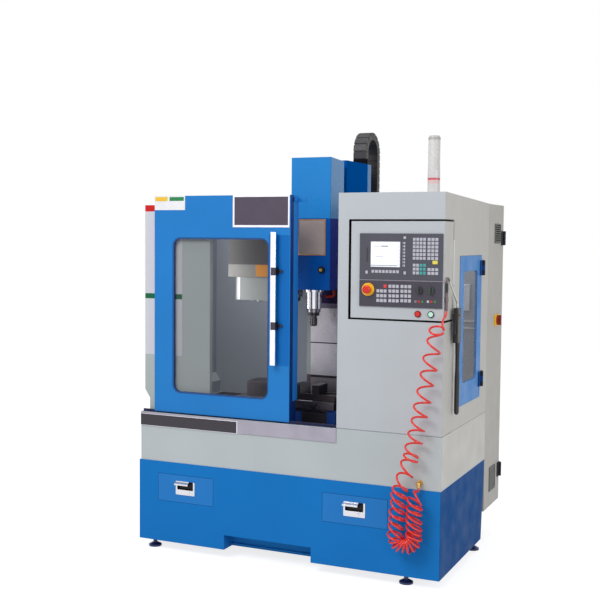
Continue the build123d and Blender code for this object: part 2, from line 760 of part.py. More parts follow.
def display_screen():
    return block(
        (SCREEN_LEFT, SCREEN_RIGHT),
        (-FACE_THICKNESS + SCREEN_RECESS, -FACE_THICKNESS / 2),
        (SCREEN_BOTTOM, SCREEN_TOP),
    )


def machine_panel():
    plate = block((FACE_LEFT, FACE_RIGHT), (-FACE_THICKNESS, 0), (FACE_BOTTOM, FACE_SPLIT - 1))
    plate += keys(PANEL_KEYS, PANEL_KEY_COUNTS, -FACE_THICKNESS)
    plate += estop_collar()
    return plate - rod_y(ESTOP_X, ESTOP_Z, ESTOP_STEM_RADIUS + BUTTON_GAP, (-ESTOP_REACH, 1))


def estop_collar():
    y = (-FACE_THICKNESS - ESTOP_COLLAR_HEIGHT, -FACE_THICKNESS)
    return rod_y(ESTOP_X, ESTOP_Z, ESTOP_COLLAR_RADIUS, y)


def estop_button():
    face = -FACE_THICKNESS
    top = face - ESTOP_REACH
    rim = top + ESTOP_HEAD_HEIGHT
    outline = [
        (0, top),
        (ESTOP_HEAD_RADIUS * 0.7, top + 1.5),
        (ESTOP_HEAD_RADIUS, top + ESTOP_HEAD_HEIGHT * 0.45),
        (ESTOP_HEAD_RADIUS, rim),
        (ESTOP_STEM_RADIUS, rim + ESTOP_HEAD_HEIGHT * 0.3),
        (ESTOP_STEM_RADIUS, face - BUTTON_GAP),
        (0, face - BUTTON_GAP),
    ]
    face_outline = make_face(Plane.XY * Polyline(*outline, close=True))
    return Pos(ESTOP_X, 0, ESTOP_Z) * revolve(face_outline, Axis.Y)


def override_knob(x):
    """Round knob with a raised finger bar."""
    face = -FACE_THICKNESS
    base = rod_y(x, KNOB_Z, KNOB_RADIUS, (face - KNOB_REACH / 2, face - SLIDE_GAP))
    bar = block(
        (x - KNOB_RADIUS / 4, x + KNOB_RADIUS / 4),
        (face - KNOB_REACH, face - KNOB_REACH / 2),
        (KNOB_Z - KNOB_RADIUS * 0.85, KNOB_Z + KNOB_RADIUS * 0.95),
    )
    return base + bar


def button_bezels():
    return [rod_y(x, PUSH_Z, PUSH_BEZEL_RADIUS, (-PUSH_BEZEL_HEIGHT, 0)) for x in PUSH_X.values()]


def push_button(x):
    cap = rod_y(x, PUSH_Z, PUSH_RADIUS, (-PUSH_REACH, 0))
    return fillet(cap.edges().group_by(Axis.Y)[0], PUSH_RADIUS / 5)


# Signal tower


def tower_body():
    base = top_height(TOWER_Y)
    foot = rod_z(TOWER_X, TOWER_Y, TOWER_RADIUS, (base - TOWER_FOOT, TOWER_BODY_TOP))
    below = profile_along_x(
        (TOWER_X - 2 * TOWER_RADIUS, TOWER_X + 2 * TOWER_RADIUS),
        [
            (TOWER_Y - 2 * TOWER_RADIUS, base - 4 * TOWER_FOOT),
            (TOWER_Y + 2 * TOWER_RADIUS, base - 4 * TOWER_FOOT),
            (TOWER_Y + 2 * TOWER_RADIUS, top_height(TOWER_Y + 2 * TOWER_RADIUS)),
            (TOWER_Y - 2 * TOWER_RADIUS, top_height(TOWER_Y - 2 * TOWER_RADIUS)),
        ],
    )
    return foot - below


def tower_lens():
    """Lens with its cap."""
    outline = [
        (0, TOWER_BODY_TOP),
        (TOWER_RADIUS - 1, TOWER_BODY_TOP),
        (TOWER_RADIUS - 1, TOWER_LENS_TOP),
        (TOWER_RADIUS, TOWER_LENS_TOP),
        (TOWER_RADIUS, TOWER_LENS_TOP + TOWER_CAP / 2),
        (TOWER_RADIUS * 0.8, TOWER_LENS_TOP + TOWER_CAP),
        (0, TOWER_LENS_TOP + TOWER_CAP),
    ]
    return turned(TOWER_X, TOWER_Y, outline)


# Sliding front door


def front_door():
    x = (DOOR_LEFT, DOOR_LEFT + DOOR_WIDTH)
    y = (DOOR_FRONT, DOOR_FRONT + DOOR_THICKNESS)
    slab = block(x, y, (DOOR_BOTTOM, DOOR_TOP))
    left, right, low, high = DOOR_WINDOW
    slab -= round_plate_y((left, right), (y[0] - 1, y[1] + 1), (low, high), WINDOW_RADIUS)
    rail_y = (y[0] + y[1]) / 2
    slab -= block(
        (x[0] - 1, x[1] + 1),
        (rail_y - RAIL_WIDTH / 2 - SLIDE_GAP, rail_y + RAIL_WIDTH / 2 + SLIDE_GAP),
        (DOOR_BOTTOM - 1, PAN_TOP + RAIL_HEIGHT + SLIDE_GAP),
    )
    edge = block(
        (x[1] - SHEET, x[1]),
        (y[0], DOOR_FRONT + DOOR_RETURN_DEPTH),
        (DOOR_RETURN_BOTTOM, DOOR_TOP),
    )
    return slab + edge + door_lower_guide() + door_top_channel() + door_catch()


def door_lower_guide():
    """Dark guide block under the door's folded edge."""
    x = (DOOR_LEFT + DOOR_WIDTH - 2 * SHEET, DOOR_LEFT + DOOR_WIDTH)
    y = (DOOR_FRONT + DOOR_THICKNESS, DOOR_FRONT + DOOR_RETURN_DEPTH * 0.8)
    return block(x, y, (DOOR_BOTTOM, DOOR_RETURN_BOTTOM))


def door_glass():
    left, right, low, high = DOOR_WINDOW
    y = DOOR_FRONT + DOOR_THICKNESS / 2
    edge = GASKET / 2
    x = (left + edge, right - edge)
    z = (low + edge, high - edge)
    return round_plate_y(x, (y - GLASS / 2, y + GLASS / 2), z, WINDOW_RADIUS - edge)


def door_gasket():
    left, right, low, high = DOOR_WINDOW
    y = (DOOR_FRONT + SHEET / 2, DOOR_FRONT + DOOR_THICKNESS - SHEET / 2)
    ring = round_plate_y((left, right), y, (low, high), WINDOW_RADIUS)
    hole = round_plate_y(
        (left + GASKET, right - GASKET),
        (y[0] - 1, y[1] + 1),
        (low + GASKET, high - GASKET),
        WINDOW_RADIUS - GASKET,
    )
    return ring - hole - door_glass()


def door_grip():
    x = (GRIP_LEFT, GRIP_LEFT + GRIP_WIDTH)
    y = (DOOR_FRONT - GRIP_REACH, DOOR_FRONT - GRIP_REACH + GRIP_DEPTH)
    return fillet(block(x, y, (GRIP_BOTTOM, GRIP_TOP)).edges().filter_by(Axis.Z), GRIP_DEPTH / 3)


def door_grip_clamps():
    """Clamps round the grip, each with a strap to the bolt beside it."""
    right = GRIP_LEFT + GRIP_WIDTH
    face = DOOR_FRONT - GRIP_REACH
    bolt_x = GRIP_LEFT + GRIP_WIDTH / 2 + GRIP_BOLT_OUT
    clamps = []
    for level in GRIP_CLAMPS:
        z = (level - GRIP_CLAMP_HEIGHT / 2, level + GRIP_CLAMP_HEIGHT / 2)
        x = (right + GRIP_CLAMP_WRAP - GRIP_CLAMP_WIDTH, right + GRIP_CLAMP_WRAP)
        clamp = block(x, (face - GRIP_CLAMP_WRAP, DOOR_FRONT), z)
        strap = block(
            (right, bolt_x),
            (DOOR_FRONT - SHEET, DOOR_FRONT),
            (level - GRIP_BOLT_RADIUS, level + GRIP_BOLT_RADIUS),
        )
        bolt = rod_y(bolt_x, level, GRIP_BOLT_RADIUS, (DOOR_FRONT - 3 * SHEET, DOOR_FRONT))
        clamps.append(clamp - door_grip() + strap + bolt)
    return group(clamps)


def door_rail():
    y = DOOR_FRONT + DOOR_THICKNESS / 2
    return block(
        (PAN_INSET, CABINET_LEFT), (y - RAIL_WIDTH / 2, y + RAIL_WIDTH / 2), (PAN_TOP, PAN_TOP + RAIL_HEIGHT)
    )


def door_top_channel():
    """Channel on the door's back, open below, that runs over the guide block."""
    x = (DOOR_LEFT + DOOR_GAP, DOOR_LEFT + DOOR_WIDTH - 2 * SHEET)
    y = (DOOR_FRONT + DOOR_THICKNESS, DOOR_FRONT + DOOR_THICKNESS + TOP_CHANNEL_DEPTH)
    z = (DOOR_TOP - TOP_CHANNEL_HEIGHT, DOOR_TOP)
    sheet = TOP_CHANNEL_SHEET
    inside = block((x[0] - 1, x[1] + 1), (y[0] + sheet, y[1] - sheet), (z[0] - 1, z[1] - sheet))
    return block(x, y, z) - inside


def door_top_guide():
    """Guide block on the left panel's top rim, reaching up into the door's channel."""
    x = (PANEL_RIGHT - GUIDE_LENGTH, PANEL_RIGHT)
    sheet = TOP_CHANNEL_SHEET + SLIDE_GAP
    back = DOOR_FRONT + DOOR_THICKNESS + TOP_CHANNEL_DEPTH
    return block(x, (PANEL_FRONT, back - sheet), (PANEL_TOP, DOOR_TOP - sheet))


def door_catch():
    """Strike plate on the door's folded edge."""
    x = (DOOR_LEFT + DOOR_WIDTH, DOOR_LEFT + DOOR_WIDTH + CATCH_WIDTH)
    y = (DOOR_FRONT + DOOR_RETURN_DEPTH - CATCH_DEPTH, DOOR_FRONT + DOOR_RETURN_DEPTH)
    z = (CATCH_BOTTOM, CATCH_BOTTOM + CATCH_HEIGHT)
    foot = block((x[0], x[0] + SHEET), y, z)
    tongue = block(x, (y[1] - 2 * SHEET, y[1]), z)
    return foot + tongue


# Side door


def hinge_leaf(pin, direction, z, length, knuckles):
    """A hinge leaf along Y from the pin, with the listed thirds of the knuckle."""
    pin_x, pin_y = pin
    face = pin_x - HINGE_OUT
    near = pin_y + direction * (HINGE_KNUCKLE + SLIDE_GAP)
    far = pin_y + direction * length
    leaf = block((face, face + HINGE_LEAF_THICKNESS), sorted((near, far)), z)
    third = (z[1] - z[0]) / 3
    for index in knuckles:
        span = (z[0] + index * third + SLIDE_GAP, z[0] + (index + 1) * third - SLIDE_GAP)
        web = block((face + SLIDE_GAP, pin_x), sorted((pin_y, near)), span)
        leaf += rod_z(pin_x, pin_y, HINGE_KNUCKLE - SLIDE_GAP, span) + web
    return leaf


def fixed_hinges(pin, direction, levels, length):
    """The fixed leaves, each with two knuckles and the pin through them."""
    leaves = []
    for level in levels:
        z = (level - HINGE_HEIGHT / 2, level + HINGE_HEIGHT / 2)
        leaf = hinge_leaf(pin, direction, z, length, (0, 2))
        leaves.append(leaf + rod_z(pin[0], pin[1], HINGE_PIN, z))
    return leaves


def moving_hinges(pin, direction, levels, length):
    """The door's leaves, each with its middle knuckle bored for the pin."""
    leaves = []
    for level in levels:
        z = (level - HINGE_HEIGHT / 2, level + HINGE_HEIGHT / 2)
        leaf = hinge_leaf(pin, direction, z, length, (1,))
        leaves.append(leaf - rod_z(pin[0], pin[1], HINGE_PIN + SHAFT_GAP, (z[0] - 1, z[1] + 1)))
    return leaves


SIDE_DOOR_FACE = WIDTH + SIDE_DOOR_PROUD
SIDE_PIN = (SIDE_DOOR_FACE + HINGE_OUT, SIDE_DOOR_BACK)


def side_door():
    x = (SIDE_DOOR_FACE - SIDE_DOOR_THICKNESS, SIDE_DOOR_FACE)
    slab = block(x, (SIDE_DOOR_FRONT, SIDE_DOOR_BACK - DOOR_GAP), (SIDE_DOOR_BOTTOM, SIDE_DOOR_TOP))
    front, back, low, high = SIDE_WINDOW
    slab -= round_plate_x((x[0] - 1, x[1] + 1), (front, back), (low, high), SIDE_WINDOW_RADIUS)
    return slab + moving_hinges(SIDE_PIN, -1, SIDE_HINGES_Z, HINGE_LEAF)


def side_glass():
    front, back, low, high = SIDE_WINDOW
    x = SIDE_DOOR_FACE - SHEET / 2
    return round_plate_x((x - GLASS, x), (front, back), (low, high), SIDE_WINDOW_RADIUS)


def side_hinge_fixed():
    """Leaves on the wall, packed out to the door's proud face."""
    pieces = fixed_hinges(SIDE_PIN, 1, SIDE_HINGES_Z, HINGE_LEAF)
    for level in SIDE_HINGES_Z:
        z = (level - HINGE_HEIGHT / 2, level + HINGE_HEIGHT / 2)
        y = (SIDE_DOOR_BACK + HINGE_KNUCKLE + SLIDE_GAP, SIDE_DOOR_BACK + HINGE_LEAF)
        pieces.append(block((WIDTH, SIDE_DOOR_FACE), y, z))
    return pieces


# Electrical cabinet


def electrical_cabinet():
    x = (EC_LEFT, WIDTH)
    y = (DEPTH, EC_BACK - EC_DOOR - SLIDE_GAP)
    body = block(x, y, (EC_BOTTOM, EC_TOP))
    body -= block(
        (x[0] + SHEET, x[1] - SHEET),
        (y[0] + SHEET, y[1] + 1),
        (EC_BOTTOM + SHEET, EC_TOP - SHEET),
    )
    for front, back, low, high in GRILLES:
        frame = GRILLE_THICKNESS
        body -= block(
            (WIDTH - SHEET - 1, WIDTH + 1), (front + frame, back - frame), (low + frame, high - frame)
        )
    return body + cabinet_grilles() + [switch_plate()] + fixed_hinges(EC_PIN, -1, EC_HINGES_Z, HINGE_LEAF)


def electrical_door():
    slab = block((EC_LEFT, WIDTH), (EC_BACK - EC_DOOR, EC_BACK), (EC_BOTTOM, EC_TOP))
    return slab + moving_hinges(EC_PIN, 1, EC_HINGES_Z, EC_DOOR)


EC_PIN = (WIDTH + HINGE_OUT, EC_BACK - EC_DOOR - SLIDE_GAP / 2)


def cabinet_grilles():
    """Louvred vents on the cabinet's side."""
    vents = []
    for front, back, low, high in GRILLES:
        x = (WIDTH, WIDTH + GRILLE_THICKNESS)
        frame = block(x, (front, back), (low, high))
        edge = GRILLE_THICKNESS
        frame -= block((x[0] - 1, x[1] + 1), (front + edge, back - edge), (low + edge, high - edge))
        pitch = (high - low - 2 * edge) / GRILLE_SLATS
        for index in range(GRILLE_SLATS):
            z = low + edge + (index + 0.5) * pitch
            outline = [
                (x[0], z + pitch * 0.35),
                (x[1], z - pitch * 0.15),
                (x[1], z - pitch * 0.35),
                (x[0], z + pitch * 0.15),
            ]
            frame += profile_along_y((front + edge, back - edge), outline)
        vents.append(frame)
    return vents


SWITCH_Y = (SWITCH_PLATE[0] + SWITCH_PLATE[1]) / 2
SWITCH_Z = (SWITCH_PLATE[2] + SWITCH_PLATE[3]) / 2
SWITCH_FACE = WIDTH + SWITCH_PLATE_THICKNESS


def switch_plate():
    front, back, low, high = SWITCH_PLATE
    return round_plate_x((WIDTH, SWITCH_FACE), (front, back), (low, high), SWITCH_PLATE_THICKNESS)


def switch_handle():
    hub_x = (SWITCH_FACE + SLIDE_GAP, SWITCH_FACE + SWITCH_REACH / 3)
    hub = rod_x(SWITCH_Y, SWITCH_Z, SWITCH_HUB_RADIUS, hub_x)
    grip = block(
        (SWITCH_FACE + SWITCH_REACH / 4, SWITCH_FACE + SWITCH_REACH),
        (SWITCH_Y - SWITCH_GRIP / 2, SWITCH_Y + SWITCH_GRIP / 2),
        (SWITCH_Z - SWITCH_HUB_RADIUS, SWITCH_Z + SWITCH_HUB_RADIUS),
    )
    return hub + grip


MOUNT_FACE = DEPTH + SHEET + MOUNTING_PLATE
MOUNT_X = (EC_LEFT + 10 * SHEET, WIDTH - 10 * SHEET)


def electrical_equipment():
    """Mounting plate with the drives, the breakers and the transformer."""
    plate = block(MOUNT_X, (DEPTH + SHEET, MOUNT_FACE), (EC_BOTTOM + 20 * SHEET, EC_TOP - 20 * SHEET))
    return plate + servo_drives() + breakers() + [transformer()]


def servo_drives():
    width, depth, height = DRIVE_SIZE
    pitch = (MOUNT_X[1] - MOUNT_X[0]) / DRIVE_COUNT
    z = EC_TOP - 40 * SHEET - height
    y = (MOUNT_FACE, MOUNT_FACE + depth)
    drives = []
    for index in range(DRIVE_COUNT):
        x = MOUNT_X[0] + (index + 0.5) * pitch
        drives.append(block((x - width / 2, x + width / 2), y, (z, z + height)))
    return drives


def breakers():
    width, depth, height = BREAKER_SIZE
    middle = (EC_BOTTOM + EC_TOP) / 2
    row = []
    for index in range(BREAKER_COUNT):
        x = MOUNT_X[0] + 2 * width + index * 1.1 * width
        row.append(block((x, x + width), (MOUNT_FACE, MOUNT_FACE + depth), (middle, middle + height)))
    return row


def transformer():
    width, depth, height = TRANSFORMER_SIZE
    x = (MOUNT_X[0] + MOUNT_X[1]) / 2
    z = EC_BOTTOM + SHEET
    return block((x - width / 2, x + width / 2), (MOUNT_FACE, MOUNT_FACE + depth), (z, z + height))


# Bed, saddle and table


def machine_bed():
    x = (BED_LEFT, BED_RIGHT)
    back = DEPTH - PAN_BACK_WALL - SLIDE_GAP
    low = STAND_HEIGHT + PAN_FLOOR
    outline = [
        (x[0], low),
        (x[1], low),
        (x[1], low + BED_FLANGE),
        (x[1] - BED_FLANGE, low + BED_FLANGE),
        (x[1] - BED_FLANGE, BED_TOP - BED_FLANGE),
        (x[1], BED_TOP - BED_FLANGE),
        (x[1], BED_TOP),
        (x[0], BED_TOP),
        (x[0], BED_TOP - BED_FLANGE),
        (x[0] + BED_FLANGE, BED_TOP - BED_FLANGE),
        (x[0] + BED_FLANGE, low + BED_FLANGE),
        (x[0], low + BED_FLANGE),
    ]
    return profile_along_y((BED_FRONT, back), outline)


def y_rails():
    width, height = RAIL_SECTION
    rails = []
    for side in (-1, 1):
        x = SPINDLE_X + side * Y_RAIL_SPREAD
        y = (BED_FRONT, COLUMN_FRONT - 2 * height)
        rails.append(block((x - width / 2, x + width / 2), y, (BED_TOP, BED_TOP + height)))
    return rails


def y_rail_blocks():
    """Carriages under the saddle, each a block with a channel over its rail."""
    width, height = RAIL_SECTION
    blocks = []
    for side in (-1, 1):
        for end in (-1, 1):
            x = SPINDLE_X + side * Y_RAIL_SPREAD
            y = SPINDLE_Y + end * (SADDLE_DEPTH - BLOCK_LENGTH) / 2
            body = block(
                (x - BLOCK_WIDTH / 2, x + BLOCK_WIDTH / 2),
                (y - BLOCK_LENGTH / 2, y + BLOCK_LENGTH / 2),
                (SADDLE_BOTTOM - BLOCK_HEIGHT, SADDLE_BOTTOM),
            )
            channel = block(
                (x - width / 2 - SLIDE_GAP, x + width / 2 + SLIDE_GAP),
                (y - BLOCK_LENGTH, y + BLOCK_LENGTH),
                (BED_TOP, BED_TOP + height + SLIDE_GAP),
            )
            blocks.append(body - channel)
    return blocks


def saddle():
    half = SADDLE_WIDTH / 2
    y = (SPINDLE_Y - SADDLE_DEPTH / 2, SPINDLE_Y + SADDLE_DEPTH / 2)
    body = block((SPINDLE_X - half, SPINDLE_X + half), y, (SADDLE_BOTTOM, SADDLE_TOP))
    body = chamfer(body.edges().filter_by(Axis.Y).group_by(Axis.Z)[0], BLOCK_HEIGHT / 3)
    return body + x_rail_blocks() + y_rail_blocks()


X_RAIL_BOTTOM = TABLE_TOP - TABLE_THICKNESS - RAIL_SECTION[1]


def x_rail_blocks():
    """Carriages on the saddle, each a block with a channel round the rail above it."""
    width = RAIL_SECTION[0]
    blocks = []
    for side in (-1, 1):
        for end in (-1, 1):
            y = SPINDLE_Y + side * X_RAIL_SPREAD
            x = SPINDLE_X + end * (SADDLE_WIDTH - BLOCK_LENGTH) / 2
            body = block(
                (x - BLOCK_LENGTH / 2, x + BLOCK_LENGTH / 2),
                (y - BLOCK_WIDTH / 2, y + BLOCK_WIDTH / 2),
                (SADDLE_TOP, TABLE_TOP - TABLE_THICKNESS - X_BLOCK_LIFT),
            )
            channel = block(
                (x - BLOCK_LENGTH, x + BLOCK_LENGTH),
                (y - width / 2 - SLIDE_GAP, y + width / 2 + SLIDE_GAP),
                (X_RAIL_BOTTOM - SLIDE_GAP, TABLE_TOP),
            )
            blocks.append(body - channel)
    return blocks


def x_rails():
    width, height = RAIL_SECTION
    rails = []
    for side in (-1, 1):
        y = SPINDLE_Y + side * X_RAIL_SPREAD
        rails.append(
            block(
                (TABLE_LEFT, TABLE_LEFT + TABLE_LENGTH),
                (y - width / 2, y + width / 2),
                (X_RAIL_BOTTOM, X_RAIL_BOTTOM + height),
            )
        )
    return rails


def work_table():
    y = (SPINDLE_Y - SADDLE_DEPTH / 2, SPINDLE_Y + SADDLE_DEPTH / 2)
    x = (TABLE_LEFT, TABLE_LEFT + TABLE_LENGTH)
    table = block(x, y, (TABLE_TOP - TABLE_THICKNESS, TABLE_TOP))
    for index in range(TSLOT_COUNT):
        middle = SPINDLE_Y + (index - (TSLOT_COUNT - 1) / 2) * TSLOT_PITCH
        throat = TABLE_TOP - TSLOT_THROAT
        table -= block(
            (x[0] - 1, x[1] + 1),
            (middle - TSLOT_WIDTH / 2, middle + TSLOT_WIDTH / 2),
            (throat - 1, TABLE_TOP + 1),
        )
        table -= block(
            (x[0] - 1, x[1] + 1),
            (middle - TSLOT_FOOT_WIDTH / 2, middle + TSLOT_FOOT_WIDTH / 2),
            (throat - TSLOT_FOOT, throat),
        )
    return table + x_rails() + table_box()


def table_box():
    """Cast housing on the table's left end, its front upper edge sloped."""
    y = (SPINDLE_Y - SADDLE_DEPTH / 2 + TABLE_BOX_INSET, SPINDLE_Y + SADDLE_DEPTH / 2 - TABLE_BOX_INSET)
    box = block(TABLE_BOX, y, (TABLE_TOP, TABLE_TOP + TABLE_BOX_HEIGHT))
    return chamfer(box.edges().group_by(Axis.Z)[-1], TABLE_BOX_INSET / 2)


# Vise

VISE_Y = (SPINDLE_Y - VISE_WIDTH / 2, SPINDLE_Y + VISE_WIDTH / 2)
VISE_DECK = TABLE_TOP + VISE_BED
VISE_JAW_X = VISE_LEFT + VISE_JAW_LENGTH + VISE_OPENING


def vise_body():
    """Bed with the fixed jaw, and a slot in which the moving jaw's tongue runs."""
    bed = block((VISE_LEFT, VISE_LEFT + VISE_LENGTH), VISE_Y, (TABLE_TOP, VISE_DECK))
    jaw = block((VISE_LEFT, VISE_LEFT + VISE_JAW_LENGTH), VISE_Y, (VISE_DECK, VISE_DECK + VISE_JAW_HEIGHT))
    slot = block(
        (VISE_LEFT + VISE_JAW_LENGTH, VISE_LEFT + VISE_LENGTH - VISE_JAW_LENGTH / 2),
        (SPINDLE_Y - VISE_TONGUE / 2 - SLIDE_GAP, SPINDLE_Y + VISE_TONGUE / 2 + SLIDE_GAP),
        (TABLE_TOP + SHEET, VISE_DECK + 1),
    )
    middle = TABLE_TOP + VISE_BED / 2
    end = VISE_LEFT + VISE_LENGTH
    screw = rod_x(SPINDLE_Y, middle, VISE_SCREW_RADIUS, (end, end + VISE_SCREW_OUT))
    return bed + jaw - slot + screw


def vise_jaw():
    x = (VISE_JAW_X, VISE_JAW_X + VISE_JAW_LENGTH)
    jaw = block(x, VISE_Y, (VISE_DECK + SLIDE_GAP, VISE_DECK + VISE_JAW_HEIGHT))
    tongue = block(
        x,
        (SPINDLE_Y - VISE_TONGUE / 2, SPINDLE_Y + VISE_TONGUE / 2),
        (TABLE_TOP + SHEET + SLIDE_GAP, VISE_DECK + SLIDE_GAP),
    )
    return jaw + tongue


# Column and covers


def column():
    back = DEPTH - PAN_BACK_WALL - SLIDE_GAP
    body = block((COLUMN_LEFT, COLUMN_RIGHT), (COLUMN_FRONT, back), (BED_TOP, COLUMN_TOP))
    return body + way_cover(2) + magazine_beam() + chain_foot()


def z_rails():
    width, height = RAIL_SECTION
    rails = []
    for side in (-1, 1):
        x = SPINDLE_X + side * Z_RAIL_SPREAD
        rails.append(
            block(
                (x - width / 2, x + width / 2),
                (COLUMN_FRONT - height, COLUMN_FRONT),
                (WAY_PLATES[2][0], COLUMN_TOP - width),
            )
        )
    return rails


def z_rail_blocks():
    """Carriages on the head's back that run on the column's rails."""
    width, height = RAIL_SECTION
    blocks = []
    levels = (WAY_PLATES[0][1] + BLOCK_LENGTH, HEAD_SPLIT - BLOCK_LENGTH)
    for side in (-1, 1):
        for z in levels:
            x = SPINDLE_X + side * Z_RAIL_SPREAD
            body = block(
                (x - BLOCK_WIDTH / 2, x + BLOCK_WIDTH / 2),
                (HEAD_BACK, COLUMN_FRONT - 5 * SLIDE_GAP),
                (z - BLOCK_LENGTH / 2, z + BLOCK_LENGTH / 2),
            )
            channel = block(
                (x - width / 2 - SLIDE_GAP, x + width / 2 + SLIDE_GAP),
                (COLUMN_FRONT - height - SLIDE_GAP, COLUMN_FRONT),
                (z - BLOCK_LENGTH, z + BLOCK_LENGTH),
            )
            blocks.append(body - channel)
    return blocks


def way_cover(index):
    """One telescopic plate; each lower one nests behind the one above it."""
    low, high = WAY_PLATES[index]
    front = HEAD_BACK + index * (SHEET + SLIDE_GAP)
    plate = block((WAY_COVER_LEFT, WAY_COVER_RIGHT), (front, front + SHEET), (low, high))
    if index == len(WAY_PLATES) - 1:
        for x in (WAY_COVER_LEFT, WAY_COVER_RIGHT - SHEET):
            plate += block((x, x + SHEET), (front, COLUMN_FRONT), (low, high))
    return plate


def column_rear_cover():
    back = DEPTH - PAN_BACK_WALL - SLIDE_GAP
    x = (COLUMN_LEFT + REAR_COVER_INSET, COLUMN_RIGHT - REAR_COVER_INSET)
    shell = block(x, (back, REAR_COVER_BACK), (REAR_COVER_BOTTOM, COLUMN_TOP))
    inside = block(
        (x[0] + SHEET, x[1] - SHEET),
        (back - 1, REAR_COVER_BACK - SHEET),
        (REAR_COVER_BOTTOM - 1, COLUMN_TOP - SHEET),
    )
    return shell - inside + chain_arm()


# Head


def head_casting():
    body = block((HEAD_LEFT, HEAD_RIGHT), (HEAD_FRONT, HEAD_BACK), (HEAD_BOTTOM, HEAD_SPLIT))
    body = chamfer(body.edges().filter_by(Axis.Z).group_by(Axis.Y)[0], HEAD_CHAMFER)
    bore_z = (HEAD_BOTTOM - 1, HEAD_BOTTOM + SPINDLE_UP + SPINDLE_END_GAP)
    body -= rod_z(SPINDLE_X, SPINDLE_Y, SPINDLE_RADIUS + SHAFT_GAP, bore_z)
    return body + z_rail_blocks() + [spindle_motor(), head_port(), coolant_nozzle()]


def head_cover():
    back_top = HEAD_TOP - HEAD_TOP_FALL
    outline = [
        (HEAD_FRONT, HEAD_SPLIT),
        (HEAD_COVER_BACK, HEAD_SPLIT),
        (HEAD_COVER_BACK, back_top),
        (HEAD_FRONT, HEAD_TOP),
    ]
    body = profile_along_x((HEAD_LEFT, HEAD_RIGHT), outline)
    body = chamfer(body.edges().filter_by(Axis.Z).group_by(Axis.Y)[0], HEAD_CHAMFER)
    inside = block(
        (HEAD_LEFT + SHEET, HEAD_RIGHT - SHEET),
        (HEAD_FRONT + SHEET, HEAD_COVER_BACK - SHEET),
        (HEAD_SPLIT - 1, back_top - SHEET),
    )
    return body - inside


def spindle_motor():
    width, depth, height = MOTOR_SIZE
    y = (HEAD_FRONT + HEAD_COVER_BACK) / 2
    flange = block(
        (SPINDLE_X - width / 2, SPINDLE_X + width / 2),
        (y - depth / 2, y + depth / 2),
        (HEAD_SPLIT, HEAD_SPLIT + 5 * SHEET),
    )
    can = rod_z(SPINDLE_X, y, depth / 2 - SHEET, (HEAD_SPLIT + 5 * SHEET, HEAD_SPLIT + height))
    return flange + can


def head_port():
    """Round blanked air connection on the head's front."""
    x, z = HEAD_PORT
    ring = rod_y(x, z, HEAD_PORT_RADIUS, (HEAD_FRONT - 4 * SHEET, HEAD_FRONT))
    return ring + rod_y(x, z, HEAD_PORT_RADIUS / 2, (HEAD_FRONT - 6 * SHEET, HEAD_FRONT - 4 * SHEET))


def spindle_cartridge():
    flange = HEAD_BOTTOM - CARTRIDGE_FLANGE
    outline = [
        (SPINDLE_RADIUS + SHAFT_GAP, CARTRIDGE_BOTTOM),
        (CARTRIDGE_RADIUS - SHEET, CARTRIDGE_BOTTOM),
        (CARTRIDGE_RADIUS, CARTRIDGE_BOTTOM + SHEET),
        (CARTRIDGE_RADIUS, flange),
        (CARTRIDGE_FLANGE_RADIUS, flange),
        (CARTRIDGE_FLANGE_RADIUS, HEAD_BOTTOM),
        (SPINDLE_RADIUS + SHAFT_GAP, HEAD_BOTTOM),
    ]
    return turned(SPINDLE_X, SPINDLE_Y, outline)


def spindle():
    """Shaft with its nose and the taper that takes the tool holder."""
    outline = [
        (TAPER_LARGE, NOSE_BOTTOM),
        (NOSE_RADIUS, NOSE_BOTTOM),
        (NOSE_RADIUS, CARTRIDGE_BOTTOM - SLIDE_GAP),
        (SPINDLE_RADIUS, CARTRIDGE_BOTTOM - SLIDE_GAP),
        (SPINDLE_RADIUS, HEAD_BOTTOM + SPINDLE_UP),
        (0, HEAD_BOTTOM + SPINDLE_UP),
        (0, NOSE_BOTTOM + TAPER_LENGTH),
        (TAPER_SMALL, NOSE_BOTTOM + TAPER_LENGTH),
    ]
    return turned(SPINDLE_X, SPINDLE_Y, outline)


def tool_holder():
    """Taper shank, gripper flange with its groove, and the collet nut."""
    flange = NOSE_BOTTOM - 2 * SHEET
    nut_top = flange - 8 * SHEET
    outline = [
        (0, NOSE_BOTTOM + TAPER_LENGTH - SHEET),
        (TAPER_SMALL - SHAFT_GAP, NOSE_BOTTOM + TAPER_LENGTH - SHEET),
        (TAPER_LARGE - 2 * SHAFT_GAP, NOSE_BOTTOM),
        (TAPER_LARGE - 2 * SHAFT_GAP, NOSE_BOTTOM - SLIDE_GAP),
        (HOLDER_FLANGE_RADIUS, NOSE_BOTTOM - SLIDE_GAP),
        (HOLDER_FLANGE_RADIUS, flange),
        (HOLDER_FLANGE_RADIUS - SHEET, flange - SHEET),
        (HOLDER_FLANGE_RADIUS, flange - 2 * SHEET),
        (HOLDER_FLANGE_RADIUS, flange - 4 * SHEET),
        (COLLET_NUT_RADIUS - SHEET, flange - 5 * SHEET),
        (COLLET_NUT_RADIUS - SHEET, nut_top),
        (COLLET_NUT_RADIUS, nut_top),
        (COLLET_NUT_RADIUS, HOLDER_BOTTOM + 2 * SHEET),
        (COLLET_NUT_RADIUS - 2 * SHEET, HOLDER_BOTTOM),
        (COLLET_BORE, HOLDER_BOTTOM),
        (COLLET_BORE, HOLDER_BOTTOM + COLLET_BORE_DEPTH),
        (0, HOLDER_BOTTOM + COLLET_BORE_DEPTH),
    ]
    return turned(SPINDLE_X, SPINDLE_Y, outline)


